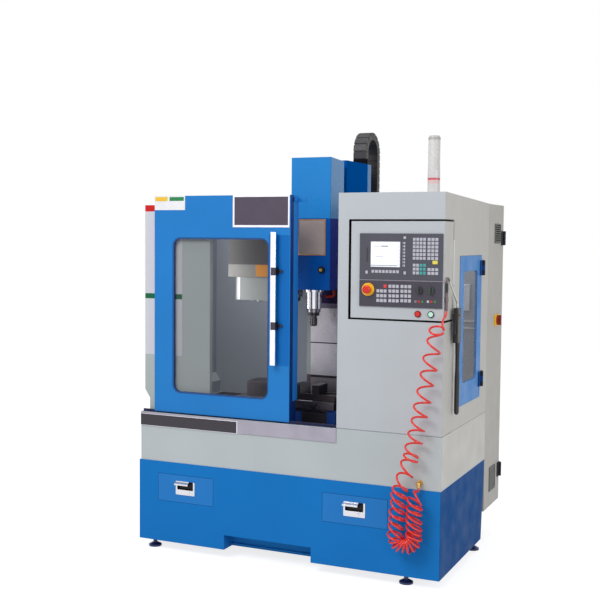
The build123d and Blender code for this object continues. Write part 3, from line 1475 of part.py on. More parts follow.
def coolant_nozzle():
    """Pipe on the head's lower right, bent towards the tool."""
    x = HEAD_RIGHT - 4 * SHEET
    y = SPINDLE_Y + 10 * SHEET
    z = HEAD_BOTTOM - 11 * SHEET
    tip = (x - 15 * SHEET, y - 2 * SHEET, z - SHEET)
    path = FilletPolyline((x, y, HEAD_BOTTOM), (x, y, z), tip, radius=4 * SHEET)
    return sweep(Plane(path @ 0, z_dir=path % 0) * Circle(2.5 * SHEET), path=path)


# Tool magazine


def magazine_cover():
    """Box over the beam and the motor, open below, with a skirt round the carousel."""
    x, y, z = MAGAZINE_BOX_X, MAGAZINE_BOX_Y, MAGAZINE_BOX_Z
    box = block(x, y, z)
    box -= block((x[0] + SHEET, x[1] - SHEET), (y[0] + SHEET, y[1] - SHEET), (z[0] + SHEET, z[1] - SHEET))
    box -= magazine_skirt(SHEET, (z[0] - 1, z[0] + SHEET + 1))
    box -= block((MAGAZINE_X, x[1] + 1), MAGAZINE_BEAM_Y, MAGAZINE_BEAM)
    skirt_z = (MAGAZINE_SKIRT_BOTTOM, z[0])
    skirt = magazine_skirt(0, skirt_z) - magazine_skirt(SHEET, (skirt_z[0] - 1, skirt_z[1] + 1))
    skirt -= block((MAGAZINE_SKIRT_RIGHT, x[1] + 1), (y[0] - 1, y[1] + 1), (skirt_z[0] - 1, skirt_z[1] + 1))
    return box + skirt


def magazine_skirt(inset, z):
    """The skirt's outline as a solid, its left corners round."""
    low_y, high_y = MAGAZINE_BOX_Y
    x = (MAGAZINE_SKIRT_LEFT + inset, MAGAZINE_BOX_X[1] - inset)
    y = (low_y + SHEET + inset, high_y - SHEET - inset)
    return round_plate_z(x, y, z, MAGAZINE_SKIRT_CORNER - inset)


def magazine_beam():
    """Arm from the column's side, with a plate over the carousel's shaft and the motor that turns it."""
    arm = block((MAGAZINE_X, COLUMN_LEFT), MAGAZINE_BEAM_Y, MAGAZINE_BEAM)
    plate = block(
        (MAGAZINE_X - MAGAZINE_MOTOR_RADIUS, MAGAZINE_X + MAGAZINE_MOTOR_RADIUS),
        (MAGAZINE_Y - MAGAZINE_MOTOR_RADIUS, MAGAZINE_BEAM_Y[1]),
        MAGAZINE_BEAM,
    )
    bore = rod_z(
        MAGAZINE_X,
        MAGAZINE_Y,
        MAGAZINE_SHAFT_RADIUS + SHAFT_GAP,
        (MAGAZINE_BEAM[0] - 1, MAGAZINE_BEAM[1] + 1),
    )
    top = MAGAZINE_BEAM[1]
    motor = rod_z(MAGAZINE_X, MAGAZINE_Y, MAGAZINE_MOTOR_RADIUS, (top, top + MAGAZINE_MOTOR_HEIGHT))
    return arm + plate - bore + motor


def carousel_ring(count):
    """Places of the pockets round the carousel."""
    for index in range(count):
        angle = 2 * math.pi * index / POCKETS
        x = MAGAZINE_X + POCKET_CIRCLE * math.cos(angle)
        yield x, MAGAZINE_Y + POCKET_CIRCLE * math.sin(angle)


def tool_carousel():
    disc = rod_z(MAGAZINE_X, MAGAZINE_Y, CAROUSEL_RADIUS, (CAROUSEL_BOTTOM, CAROUSEL_TOP))
    for x, y in carousel_ring(POCKETS):
        disc -= rod_z(x, y, POCKET_RADIUS, (CAROUSEL_BOTTOM - 1, CAROUSEL_TOP + 1))
    hub = rod_z(MAGAZINE_X, MAGAZINE_Y, CAROUSEL_HUB, (CAROUSEL_TOP, MAGAZINE_BOX_Z[0]))
    shaft = rod_z(
        MAGAZINE_X, MAGAZINE_Y, MAGAZINE_SHAFT_RADIUS, (MAGAZINE_BOX_Z[0], MAGAZINE_BEAM[1] - SLIDE_GAP)
    )
    return disc + hub + shaft


def stored_tools():
    """Holders with drills, hanging in the carousel's pockets by their grooves."""
    neck = POCKET_RADIUS - SLIDE_GAP
    flange = POCKET_RADIUS + 2 * SHEET
    top = CAROUSEL_TOP + SLIDE_GAP
    low = CAROUSEL_BOTTOM - SLIDE_GAP
    outline = [
        (0, top + 12 * SHEET),
        (TAPER_SMALL, top + 12 * SHEET),
        (TAPER_LARGE, top + 2 * SHEET),
        (flange, top + 2 * SHEET),
        (flange, top),
        (neck, top),
        (neck, low),
        (flange, low),
        (flange, low - 3 * SHEET),
        (TAPER_LARGE, low - 3 * SHEET),
        (TAPER_LARGE, low - 11 * SHEET),
        (0, low - 11 * SHEET),
    ]
    tool = turned(0, 0, outline)
    return group([Pos(x, y, 0) * tool for x, y in carousel_ring(STORED_TOOLS)])


# Cable chain

CHAIN_X = (CHAIN_LEFT, CHAIN_RIGHT)
CHAIN_AXIS_Y = CHAIN_FRONT + CHAIN_OUTER_RADIUS
CHAIN_AXIS_Z = CHAIN_TOP - CHAIN_OUTER_RADIUS
CHAIN_MID_RADIUS = CHAIN_OUTER_RADIUS - CHAIN_HEIGHT / 2


def chain_shell():
    """Closed shell of one link about its middle, length along Z."""
    half_width = (CHAIN_X[1] - CHAIN_X[0]) / 2
    half_length = (CHAIN_LINK - CHAIN_GROOVE) / 2
    half_height = CHAIN_HEIGHT / 2
    shell = block((-half_width, half_width), (-half_height, half_height), (-half_length, half_length))
    return chamfer(shell.edges().filter_by(Axis.X), CHAIN_GROOVE / 2)


def chain_core():
    """Closed duct inside the shells: front leg, arch and rear leg."""
    x = (CHAIN_X[0] + CHAIN_STEP, CHAIN_X[1] - CHAIN_STEP)
    outer = CHAIN_OUTER_RADIUS - CHAIN_STEP
    inner = CHAIN_OUTER_RADIUS - CHAIN_HEIGHT + CHAIN_STEP
    front_end = CHAIN_AXIS_Z - CHAIN_FRONT_LINKS * CHAIN_LINK
    rear_end = CHAIN_AXIS_Z - CHAIN_REAR_LINKS * CHAIN_LINK
    wide = (x[0] - 1, x[1] + 1)
    arch = rod_x(CHAIN_AXIS_Y, CHAIN_AXIS_Z, outer, x) - rod_x(CHAIN_AXIS_Y, CHAIN_AXIS_Z, inner, wide)
    below = block(wide, (CHAIN_AXIS_Y - outer - 1, CHAIN_AXIS_Y + outer + 1), (rear_end, CHAIN_AXIS_Z))
    front = block(x, (CHAIN_AXIS_Y - outer, CHAIN_AXIS_Y - inner), (front_end, CHAIN_AXIS_Z))
    rear = block(x, (CHAIN_AXIS_Y + inner, CHAIN_AXIS_Y + outer), (rear_end, CHAIN_AXIS_Z))
    return (arch - below) + front + rear


def cable_chain():
    """Closed links up the front leg, over the arch and down the rear leg."""
    middle = (CHAIN_X[0] + CHAIN_X[1]) / 2
    first = CHAIN_AXIS_Z - CHAIN_LINK / 2
    places = [Pos(middle, CHAIN_FRONT + CHAIN_HEIGHT / 2, first)]
    for index in range(CHAIN_ARCH_LINKS):
        angle = 180 * (index + 0.5) / CHAIN_ARCH_LINKS
        turn = Pos(middle, CHAIN_AXIS_Y, CHAIN_AXIS_Z) * Rotation(-angle, 0, 0)
        places.append(turn * Pos(0, -CHAIN_MID_RADIUS, 0))
    rear = CHAIN_AXIS_Y + CHAIN_MID_RADIUS
    for index in range(CHAIN_REAR_LINKS):
        places.append(Pos(middle, rear, first - index * CHAIN_LINK))
    chain = chain_core()
    for place in places:
        chain += place * chain_shell()
    return chain


def chain_foot():
    """Block on the column's top that holds the front leg's end."""
    top = CHAIN_AXIS_Z - CHAIN_FRONT_LINKS * CHAIN_LINK
    return block(CHAIN_X, (CHAIN_FRONT, DEPTH - PAN_BACK_WALL - SLIDE_GAP), (COLUMN_TOP, top))


def chain_arm():
    """Arm from the rear cover to the rear leg's end."""
    top = CHAIN_AXIS_Z - CHAIN_REAR_LINKS * CHAIN_LINK
    back = CHAIN_AXIS_Y + CHAIN_OUTER_RADIUS
    x = (CHAIN_LEFT, COLUMN_RIGHT - REAR_COVER_INSET)
    return block(x, (REAR_COVER_BACK, back), (top - CHAIN_LINK, top))


# Air line


def air_fitting():
    """Elbow on the pan's front wall, its mouth pointing down."""
    y = PAN_FRONT - FITTING_REACH
    neck = rod_y(FITTING_X, FITTING_Z, FITTING_RADIUS, (y, PAN_FRONT))
    nut = rod_y(FITTING_X, FITTING_Z, FITTING_RADIUS * 1.4, (PAN_FRONT - FITTING_RADIUS, PAN_FRONT))
    mouth = rod_z(FITTING_X, y, FITTING_RADIUS, (FITTING_Z - FITTING_DROP, FITTING_Z))
    return neck + nut + mouth + Pos(FITTING_X, y, FITTING_Z) * Sphere(FITTING_RADIUS)


def corner_radii(points):
    """For each corner of a route, 0.45 of its shorter run over the tangent of half its turn."""
    radii = []
    for before, here, after in zip(points, points[1:], points[2:]):
        run_in = Vector(*here) - Vector(*before)
        run_out = Vector(*after) - Vector(*here)
        half_turn = math.radians(run_in.get_angle(run_out)) / 2
        radii.append(0.45 * min(run_in.length, run_out.length) / math.tan(half_turn))
    return radii


def tube(points, radius, radii=None):
    """A round solid along a route of straight runs joined by tangent arcs."""
    path = FilletPolyline(*points, radius=radii or corner_radii(points))
    return sweep(Plane(path @ 0, z_dir=path % 0) * Circle(radius), path=path)


def slack_coil():
    """Outer shape of the slack turns: down from the hose's start, round, and up again."""
    spread = (SLACK_COIL[1][0] - SLACK_COIL[2][0]) / 2 - SHAFT_GAP
    return tube(SLACK_COIL, COIL_RADIUS, [spread, spread])


def stretched_coil():
    return tube(STRETCHED_COIL, COIL_RADIUS)


def gun_coupling():
    """Quick coupling with its collar, on the end of the hose."""
    collar = COUPLING_BOTTOM + (COUPLING_TOP - COUPLING_BOTTOM) * 0.3
    outline = [
        (0, COUPLING_BOTTOM),
        (COUPLING_RADIUS * 0.7, COUPLING_BOTTOM),
        (COUPLING_RADIUS, COUPLING_BOTTOM + 2 * SHEET),
        (COUPLING_RADIUS, collar),
        (COUPLING_RADIUS * 1.2, collar + SHEET),
        (COUPLING_RADIUS * 1.2, collar + 8 * SHEET),
        (COUPLING_RADIUS, collar + 9 * SHEET),
        (COUPLING_RADIUS, COUPLING_TOP),
        (0, COUPLING_TOP),
    ]
    return turned(COUPLING_X, COUPLING_Y, outline)


GUN_MIDDLE_Y = (GUN_Y[0] + GUN_Y[1]) / 2


def gun_body():
    """Valve body with its nozzle, its bent inlet pipe, the coupling on it and the hole for the hook."""
    x = (GUN_X - GUN_WIDTH / 2, GUN_X + GUN_WIDTH / 2)
    body = block(x, GUN_Y, (GUN_BOTTOM, GUN_TOP))
    body = fillet(body.edges().filter_by(Axis.Z), GUN_WIDTH / 4)
    neck = FilletPolyline(
        (COUPLING_X, COUPLING_Y, COUPLING_TOP),
        (COUPLING_X, COUPLING_Y, COUPLING_TOP + 3 * GUN_BEND),
        (GUN_X, GUN_MIDDLE_Y, GUN_TOP + 2 * GUN_BEND),
        (GUN_X, GUN_MIDDLE_Y, GUN_TOP - GUN_BEND),
        radius=GUN_BEND,
    )
    body += sweep(Plane(neck @ 0, z_dir=neck % 0) * Circle(GUN_NECK_RADIUS), path=neck)
    body += [gun_coupling(), gun_nozzle()]
    return body - rod_x(GUN_MIDDLE_Y, HOOK_Z, HOOK_RADIUS + SLIDE_GAP, (x[0] - 1, x[1] + 1))


def gun_nozzle():
    """Long nozzle: a taper below the body, a waist and the rounded tip."""
    y = GUN_Y[1] - GUN_NOZZLE_RADIUS - SHEET
    waist = GUN_BOTTOM - GUN_TAPER
    outline = [
        (0, GUN_BOTTOM),
        (GUN_WIDTH / 2 - SHEET / 2, GUN_BOTTOM),
        (GUN_NOZZLE_WAIST, waist),
        (GUN_NOZZLE_WAIST, waist - GUN_TAPER),
        (GUN_NOZZLE_RADIUS, waist - 1.5 * GUN_TAPER),
        (GUN_NOZZLE_RADIUS, GUN_NOZZLE_BOTTOM + GUN_NOZZLE_RADIUS),
        (GUN_NOZZLE_RADIUS * 0.7, GUN_NOZZLE_BOTTOM + SHEET),
        (GUN_NOZZLE_RADIUS * 0.3, GUN_NOZZLE_BOTTOM),
        (0, GUN_NOZZLE_BOTTOM),
    ]
    return turned(GUN_X, y, outline)


def gun_lever():
    """Thumb lever in front of the valve body, hung on the pin at its upper end."""
    x = (GUN_X - GUN_WIDTH / 4, GUN_X + GUN_WIDTH / 4)
    low = GUN_TOP - GUN_LEVER_LENGTH
    outline = [
        (GUN_Y[0] - SLIDE_GAP, GUN_TOP - SHEET),
        (GUN_Y[0] - SLIDE_GAP - GUN_LEVER, GUN_TOP - SHEET),
        (GUN_Y[0] - 4 * GUN_LEVER, low),
        (GUN_Y[0] - 3 * GUN_LEVER, low),
    ]
    pin_y = GUN_Y[0] - SLIDE_GAP - GUN_PIN_RADIUS
    pin = rod_x(pin_y, GUN_TOP - 2 * SHEET, GUN_PIN_RADIUS, (x[0] - SHEET, x[1] + SHEET))
    return profile_along_x(x, outline) + pin


def gun_hook():
    """Pin with a head on a small plate, on the console's side."""
    plate = block(
        (WIDTH, WIDTH + SHEET),
        (GUN_MIDDLE_Y - 6 * SHEET, GUN_MIDDLE_Y),
        (HOOK_Z - 3 * SHEET, HOOK_Z + 8 * SHEET),
    )
    pin = rod_x(GUN_MIDDLE_Y, HOOK_Z, HOOK_RADIUS, (WIDTH, HOOK_END))
    head = rod_x(GUN_MIDDLE_Y, HOOK_Z, HOOK_RADIUS * 1.8, (HOOK_END - SHEET, HOOK_END))
    return plate + pin + head


def pieces():
    """Every piece of the machine by its node's name."""
    made = {
        "stand_housing": stand_housing(),
        "levelling_feet": levelling_feet(),
        "splash_pan": splash_pan(),
        "front_trim_strip": front_trim(),
        "left_front_panel": left_front_panel(),
        "left_side_wall": left_side_wall(),
        "right_side_wall": right_side_wall(),
        "operator_cabinet": operator_cabinet(),
        "console_box": console_box(),
        "display_unit": display_unit(),
        "display_screen": display_screen(),
        "machine_panel": machine_panel(),
        "estop_button": estop_button(),
        "feed_override_knob": override_knob(KNOBS_X[0]),
        "spindle_override_knob": override_knob(KNOBS_X[1]),
        "signal_tower_body": tower_body(),
        "signal_tower_lens": tower_lens(),
        "front_door": front_door(),
        "door_glass": door_glass(),
        "door_gasket": door_gasket(),
        "door_grip": door_grip(),
        "door_grip_clamps": door_grip_clamps(),
        "side_door": side_door(),
        "side_door_glass": side_glass(),
        "electrical_cabinet": electrical_cabinet(),
        "electrical_door": electrical_door(),
        "main_switch_handle": switch_handle(),
        "electrical_equipment": electrical_equipment(),
        "machine_bed": machine_bed(),
        "guide_rails": group(y_rails() + z_rails()),
        "saddle": saddle(),
        "work_table": work_table(),
        "vise_body": vise_body(),
        "vise_jaw": vise_jaw(),
        "column": column(),
        "column_rear_cover": column_rear_cover(),
        "way_cover_upper": way_cover(0),
        "way_cover_middle": way_cover(1),
        "head_casting": head_casting(),
        "head_cover": head_cover(),
        "spindle_cartridge": spindle_cartridge(),
        "spindle": spindle(),
        "tool_holder": tool_holder(),
        "magazine_cover": magazine_cover(),
        "tool_carousel": tool_carousel(),
        "stored_tools": stored_tools(),
        "cable_chain": cable_chain(),
        "air_fitting": air_fitting(),
        "hose_start": tube(HOSE_START, HOSE_RADIUS),
        "hose_slack_coil": slack_coil(),
        "hose_stretched_coil": stretched_coil(),
        "hose_end": tube(HOSE_END, HOSE_RADIUS),
        "air_gun": gun_body(),
        "air_gun_lever": gun_lever(),
    }
    for name, x in PUSH_X.items():
        made[name] = push_button(x)
    for side, sizes in DRAWERS.items():
        made["drawer_" + side] = drawer(*sizes)
        made["drawer_pull_" + side] = drawer_pull(*sizes)
    return made


os.makedirs("parts", exist_ok=True)
to_origin = Pos(-ORIGIN.X, -ORIGIN.Y, -ORIGIN.Z)
for node, shape in pieces().items():
    export_step(group([to_origin * solid for solid in shape.solids()]), f"parts/{node}.step")
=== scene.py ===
import math

import bmesh
import bpy
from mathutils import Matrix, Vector


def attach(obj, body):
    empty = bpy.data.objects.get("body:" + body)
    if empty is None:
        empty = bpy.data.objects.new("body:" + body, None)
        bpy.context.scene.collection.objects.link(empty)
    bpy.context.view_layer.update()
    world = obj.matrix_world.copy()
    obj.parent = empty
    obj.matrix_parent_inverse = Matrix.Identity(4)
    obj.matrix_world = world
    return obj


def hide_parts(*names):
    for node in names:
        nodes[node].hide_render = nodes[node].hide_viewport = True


# Sizes are in the machine's own millimetres: X to the right along the front, Y back from the front
# face of the stand, Z up from the stand's lower edge. ORIGIN is the row's origin in that frame.
ORIGIN = (845.0, 554.0, -50.0)

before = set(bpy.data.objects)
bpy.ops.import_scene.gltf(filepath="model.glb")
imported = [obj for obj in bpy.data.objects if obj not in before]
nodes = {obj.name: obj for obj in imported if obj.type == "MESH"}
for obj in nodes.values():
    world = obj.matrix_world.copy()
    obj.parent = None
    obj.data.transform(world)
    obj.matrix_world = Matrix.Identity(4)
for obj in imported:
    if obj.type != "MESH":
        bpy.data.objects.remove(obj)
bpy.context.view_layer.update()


def at(x, y, z):
    """A point of the machine in the row's metres."""
    return Vector(((x - ORIGIN[0]) / 1000, (y - ORIGIN[1]) / 1000, (z - ORIGIN[2]) / 1000))


# Camera

CAMERA_PLACE = (2.14534, -5.15162, 1.63970)
CAMERA_TURN = (86.6154, -0.4932, 24.2595)
CAMERA_LENS = 62.214
CAMERA_SENSOR = 36.0

camera = bpy.data.objects.new("camera", bpy.data.cameras.new("camera"))
bpy.context.scene.collection.objects.link(camera)
camera.location = CAMERA_PLACE
camera.rotation_euler = [math.radians(angle) for angle in CAMERA_TURN]
camera.data.lens = CAMERA_LENS
camera.data.sensor_width = CAMERA_SENSOR
bpy.context.scene.camera = camera


# Finishes

# Radius of each kind of surface's soft edges, in metres
ENAMEL_EDGE = 0.002
METAL_EDGE = 0.001
PLASTIC_EDGE = 0.001
KEY_EDGE = 0.0012
EDGE_SAMPLES = 4
# Grain of each kind of surface: noise scale per metre, and height of its bump in metres
PEEL_SCALE, PEEL_HEIGHT = 420.0, 0.0006
COAT_SCALE, COAT_HEIGHT = 900.0, 0.0005
FOIL_SCALE, FOIL_HEIGHT = 1200.0, 0.0003
METAL_HEIGHT = 0.0004
PLASTIC_HEIGHT = 0.0003
# The part of a noise's values that is spread over the whole of a ramp
NOISE_LOW, NOISE_HIGH = 0.3, 0.7
# Sockets of the Mix node that hold colours
MIX_FIRST, MIX_SECOND, MIX_RESULT = 6, 7, 2


def srgb(red, green, blue):
    """A colour given in display values of 0 to 255."""
    linear = []
    for value in (red, green, blue):
        value /= 255
        linear.append(value / 12.92 if value <= 0.04045 else ((value + 0.055) / 1.055) ** 2.4)
    return (*linear, 1.0)


class Finish:
    """A material built from nodes on object coordinates, in the row's metres."""

    def __init__(self, name):
        self.material = bpy.data.materials.new(name)
        self.material.use_nodes = True
        self.nodes = self.material.node_tree.nodes
        self.links = self.material.node_tree.links
        self.nodes.clear()
        self.output = self.nodes.new("ShaderNodeOutputMaterial")
        self.shader = self.nodes.new("ShaderNodeBsdfPrincipled")
        self.links.new(self.shader.outputs[0], self.output.inputs[0])
        self.place = self.nodes.new("ShaderNodeTexCoord").outputs["Object"]
        self.last_normal = None

    def put(self, socket, value):
        """Links a node's output to the socket, or writes a plain value there."""
        if isinstance(value, bpy.types.NodeSocket):
            self.links.new(value, socket)
        else:
            socket.default_value = value

    def set(self, name, value):
        """Links or writes one of the shader's inputs."""
        self.put(self.shader.inputs[name], value)

    def vector(self, operation, first, second=None):
        """The result of a vector operation on one or two inputs."""
        node = self.nodes.new("ShaderNodeVectorMath")
        node.operation = operation
        self.put(node.inputs[0], first)
        if second is not None:
            self.put(node.inputs[1], second)
        return node.outputs[0]

    def math(self, operation, first, second=0.0):
        """The result of an operation on numbers."""
        node = self.nodes.new("ShaderNodeMath")
        node.operation = operation
        self.put(node.inputs[0], first)
        self.put(node.inputs[1], second)
        return node.outputs[0]

    def axis(self, index):
        """One coordinate of the place: 0, 1 or 2 for X, Y or Z."""
        node = self.nodes.new("ShaderNodeSeparateXYZ")
        self.links.new(self.place, node.inputs[0])
        return node.outputs[index]

    def ramp(self, value, low, high, to_low=0.0, to_high=1.0):
        """Value brought from low..high to to_low..to_high, clamped."""
        node = self.nodes.new("ShaderNodeMapRange")
        self.put(node.inputs["Value"], value)
        node.inputs["From Min"].default_value = low
        node.inputs["From Max"].default_value = high
        node.inputs["To Min"].default_value = to_low
        node.inputs["To Max"].default_value = to_high
        return node.outputs[0]

    def mix(self, factor, first, second):
        """The first colour at a factor of 0, and the second at 1."""
        node = self.nodes.new("ShaderNodeMix")
        node.data_type = "RGBA"
        self.put(node.inputs[0], factor)
        self.put(node.inputs[MIX_FIRST], first)
        self.put(node.inputs[MIX_SECOND], second)
        return node.outputs[MIX_RESULT]

    def noise(self, scale, detail=2.0, stretch=(1, 1, 1)):
        """Noise on the place, with each coordinate stretched."""
        place = self.place
        if stretch != (1, 1, 1):
            place = self.vector("MULTIPLY", self.place, stretch)
        node = self.nodes.new("ShaderNodeTexNoise")
        self.links.new(place, node.inputs["Vector"])
        node.inputs["Scale"].default_value = scale
        node.inputs["Detail"].default_value = detail
        return node.outputs[0]

    def inside(self, low, high):
        """1 within a box given by machine points, 0 outside it."""
        low, high = at(*low), at(*high)
        off = self.vector("SUBTRACT", self.place, tuple((low + high) / 2))
        off = self.vector("SUBTRACT", self.vector("ABSOLUTE", off), tuple((high - low) / 2))
        node = self.nodes.new("ShaderNodeSeparateXYZ")
        self.links.new(off, node.inputs[0])
        worst = self.math("MAXIMUM", node.outputs[0], node.outputs[1])
        worst = self.math("MAXIMUM", worst, node.outputs[2])
        return self.math("LESS_THAN", worst, 0.0)

    def rough(self, middle, scale, detail=3.0, stretch=(1, 1, 1), spread=0.25):
        """Roughness that wanders by a share of its middle value."""
        noise = self.noise(scale, detail, stretch)
        wander = self.ramp(noise, NOISE_LOW, NOISE_HIGH, 1 - spread, 1 + spread)
        self.set("Roughness", self.math("MULTIPLY", wander, middle))

    def bump(self, height, strength, distance):
        """Adds a bump to the normal that the surface has so far."""
        node = self.nodes.new("ShaderNodeBump")
        node.inputs["Strength"].default_value = strength
        node.inputs["Distance"].default_value = distance
        self.links.new(height, node.inputs["Height"])
        if self.last_normal is not None:
            self.links.new(self.last_normal, node.inputs["Normal"])
        self.last_normal = node.outputs[0]
        self.set("Normal", self.last_normal)

    def soft_edges(self, radius):
        """Rounds the sharp edges to the eye; it comes before any bump."""
        node = self.nodes.new("ShaderNodeBevel")
        node.samples = EDGE_SAMPLES
        node.inputs["Radius"].default_value = radius
        self.last_normal = node.outputs[0]
        self.set("Normal", self.last_normal)

    def fields(self, color, areas):
        """The base colour with areas of others, each given as low corner, high corner, colour."""
        for low, high, other in areas:
            color = self.mix(self.inside(low, high), color, other)
        return color

    def metal_in(self, metals):
        """Makes the areas of bare metal metallic, where there are any."""
        level = 0.0
        for low, high, color in metals:
            level = self.math("MAXIMUM", level, self.inside(low, high))
        self.set("Metallic", level)


def toned(finish, color, spread=0.05, scale=2.5):
    """The colour with a slow, slight change of tone over the surface."""
    dark = tuple(channel * (1 - spread) for channel in color[:3]) + (1.0,)
    light = tuple(min(1.0, channel * (1 + spread)) for channel in color[:3]) + (1.0,)
    return finish.mix(finish.ramp(finish.noise(scale, 3.0), NOISE_LOW, NOISE_HIGH), dark, light)


def paint(name, color, areas=(), metals=(), roughness=0.38, peel=0.10, shine=0.22):
    """Sprayed enamel with a faint orange peel; metals are the areas of bare metal."""
    finish = Finish(name)
    finish.set("Base Color", finish.fields(toned(finish, color, spread=0.04), [*areas, *metals]))
    finish.metal_in(metals)
    finish.set("Specular IOR Level", shine)
    finish.rough(roughness, scale=9.0, detail=4.0)
    finish.soft_edges(ENAMEL_EDGE)
    finish.bump(finish.noise(PEEL_SCALE), peel, PEEL_HEIGHT)
    return finish


def texture_paint(name, color, areas=()):
    """Fine structured powder coat."""
    finish = Finish(name)
    finish.set("Base Color", finish.fields(toned(finish, color, spread=0.025), areas))
    finish.set("Specular IOR Level", 0.2)
    finish.rough(0.5, scale=14.0, spread=0.12)
    finish.soft_edges(ENAMEL_EDGE)
    finish.bump(finish.noise(COAT_SCALE, detail=3.0), 0.12, COAT_HEIGHT)
    return finish


def metal(name, color, roughness=0.3, grain=(1, 1, 1), grain_scale=300.0, depth=0.12, areas=()):
    """Bare or plated metal, its grain stretched along one axis."""
    finish = Finish(name)
    finish.set("Base Color", finish.fields(toned(finish, color, spread=0.06, scale=12.0), areas))
    finish.set("Metallic", 1.0)
    finish.rough(roughness, grain_scale, stretch=grain, spread=0.35)
    finish.soft_edges(METAL_EDGE)
    finish.bump(finish.noise(grain_scale, 3.0, grain), depth, METAL_HEIGHT)
    return finish


def plastic(name, color, roughness=0.45, areas=(), metals=(), grain=700.0, depth=0.1):
    """Moulded plastic with a fine grain; metals are the areas of bare metal."""
    finish = Finish(name)
    color = toned(finish, color, spread=0.05, scale=20.0)
    finish.set("Base Color", finish.fields(color, [*areas, *metals]))
    finish.metal_in(metals)
    finish.rough(roughness, scale=40.0, detail=2.0, spread=0.15)
    finish.soft_edges(PLASTIC_EDGE)
    finish.bump(finish.noise(grain), depth, PLASTIC_HEIGHT)
    return finish


# Air hose

HOSE_DIAMETER = 0.010
HOSE_RED = srgb(226, 44, 34)
COIL_TURN_RADIUS = 0.0375
POINTS_PER_TURN = 14
HOSE_START = [
    (1544.0, -22.0, 437.0),
    (1544.0, -24.0, 424.0),
    (1541.0, -46.0, 405.0),
    (1537.0, -62.0, 378.0),
]
SLACK_COIL = [
    (1537.0, -62.0, 378.0),
    (1537.0, -62.0, 258.0),
    (1537.0, -62.0, 170.0),
    (1449.0, -62.0, 170.0),
    (1451.0, -62.0, 258.0),
    (1462.0, -62.0, 400.0),
]
STRETCHED_COIL = [
    (1462.0, -62.0, 400.0),
    (1472.0, -62.0, 450.0),
    (1523.0, -62.0, 589.0),
    (1632.0, -62.0, 1181.0),
]
HOSE_END = [
    (1632.0, -62.0, 1181.0),
    (1634.0, -58.0, 1206.0),
    (1650.0, -14.0, 1224.0),
    (1654.0, 10.0, 1238.0),
    (1654.0, 12.0, 1262.0),
]
ROUTE = HOSE_START + SLACK_COIL[1:] + STRETCHED_COIL[1:] + HOSE_END[1:]
# Turns done at a distance along the route, in metres from the fitting: crowded down the first leg
# and round the bottom, wider up the second leg, widest where the hose is stretched, and one flat
# turn on top.
TURNS_DONE = [
    (0.0, 0.0),
    (0.060, 1.0),
    (0.224, 6.4),
    (0.364, 15.0),
    (0.600, 21.5),
    (0.677, 22.5),
    (0.742, 23.5),
    (0.760, 24.5),
    (0.829, 25.5),
    (0.888, 26.5),
    (0.954, 27.5),
    (1.022, 28.5),
    (1.103, 29.5),
    (1.175, 30.5),
    (1.254, 31.5),
    (1.342, 32.5),
    (1.353, 33.5),
    (1.440, 33.85),
    (1.470, 33.9),
]
# The coil's radius as a share of its full one: the ends of the hose run into the middle.
SPREAD = [
    (0.0, 0.0),
    (0.012, 0.0),
    (0.055, 1.0),
    (1.330, 1.0),
    (1.368, 0.8),
    (1.445, 0.0),
    (1.470, 0.0),
]
# How far a turn drops from its left to its right side, and from its back to its front, in metres.
SIDE_DROP = [
    (0.0, 0.0),
    (0.055, 0.015),
    (0.600, 0.015),
    (0.740, 0.003),
    (1.330, 0.003),
    (1.350, 0.0),
    (1.470, 0.0),
]
FRONT_DROP = [(0.0, 0.0), (1.320, 0.0), (1.345, 0.014), (1.375, 0.014), (1.430, 0.0), (1.470, 0.0)]
# Share by which the turns differ in radius and in drop, and how fast that changes from turn to turn.
TURN_UNEVENNESS = 0.10
TURN_RATE = 2.4
DROP_UNEVENNESS = 0.4
DROP_RATE = 1.7
# The hose's curve cuts the corners of the line through its control points, so it is a little shorter.
ROUTE_RESOLUTION = 12
HOSE_RESOLUTION = 3
HOSE_ROUNDNESS = 4


def spline_curve(name, points, resolution):
    """A curve of one open NURBS spline with these control points, in metres."""
    data = bpy.data.curves.new(name, "CURVE")
    data.dimensions = "3D"
    data.resolution_u = resolution
    spline = data.splines.new("NURBS")
    spline.points.add(len(points) - 1)
    for target, point in zip(spline.points, points):
        target.co = (*point, 1.0)
    spline.order_u = 3
    spline.use_endpoint_u = True
    return data


def route_line(points):
    """Points along the route's spline."""
    data = spline_curve("route", [at(*point) for point in points], ROUTE_RESOLUTION)
    holder = bpy.data.objects.new("route", data)
    bpy.context.scene.collection.objects.link(holder)
    line = bpy.data.meshes.new_from_object(holder)
    found = [vertex.co.copy() for vertex in line.vertices]
    bpy.data.objects.remove(holder)
    bpy.data.curves.remove(data)
    bpy.data.meshes.remove(line)
    return found


def between(table, value, given=0, wanted=1):
    """Straight-line value from a table of pairs."""
    for before, here in zip(table, table[1:]):
        if value <= here[given]:
            share = (value - before[given]) / (here[given] - before[given])
            return before[wanted] + (here[wanted] - before[wanted]) * share
    return table[-1][wanted]


def place_on(line, distance):
    """The point at a distance along the line, and the line's direction there."""
    for before, here in zip(line, line[1:]):
        run = here - before
        if distance <= run.length:
            return before + run.normalized() * distance, run.normalized()
        distance -= run.length
    return line[-1], run.normalized()


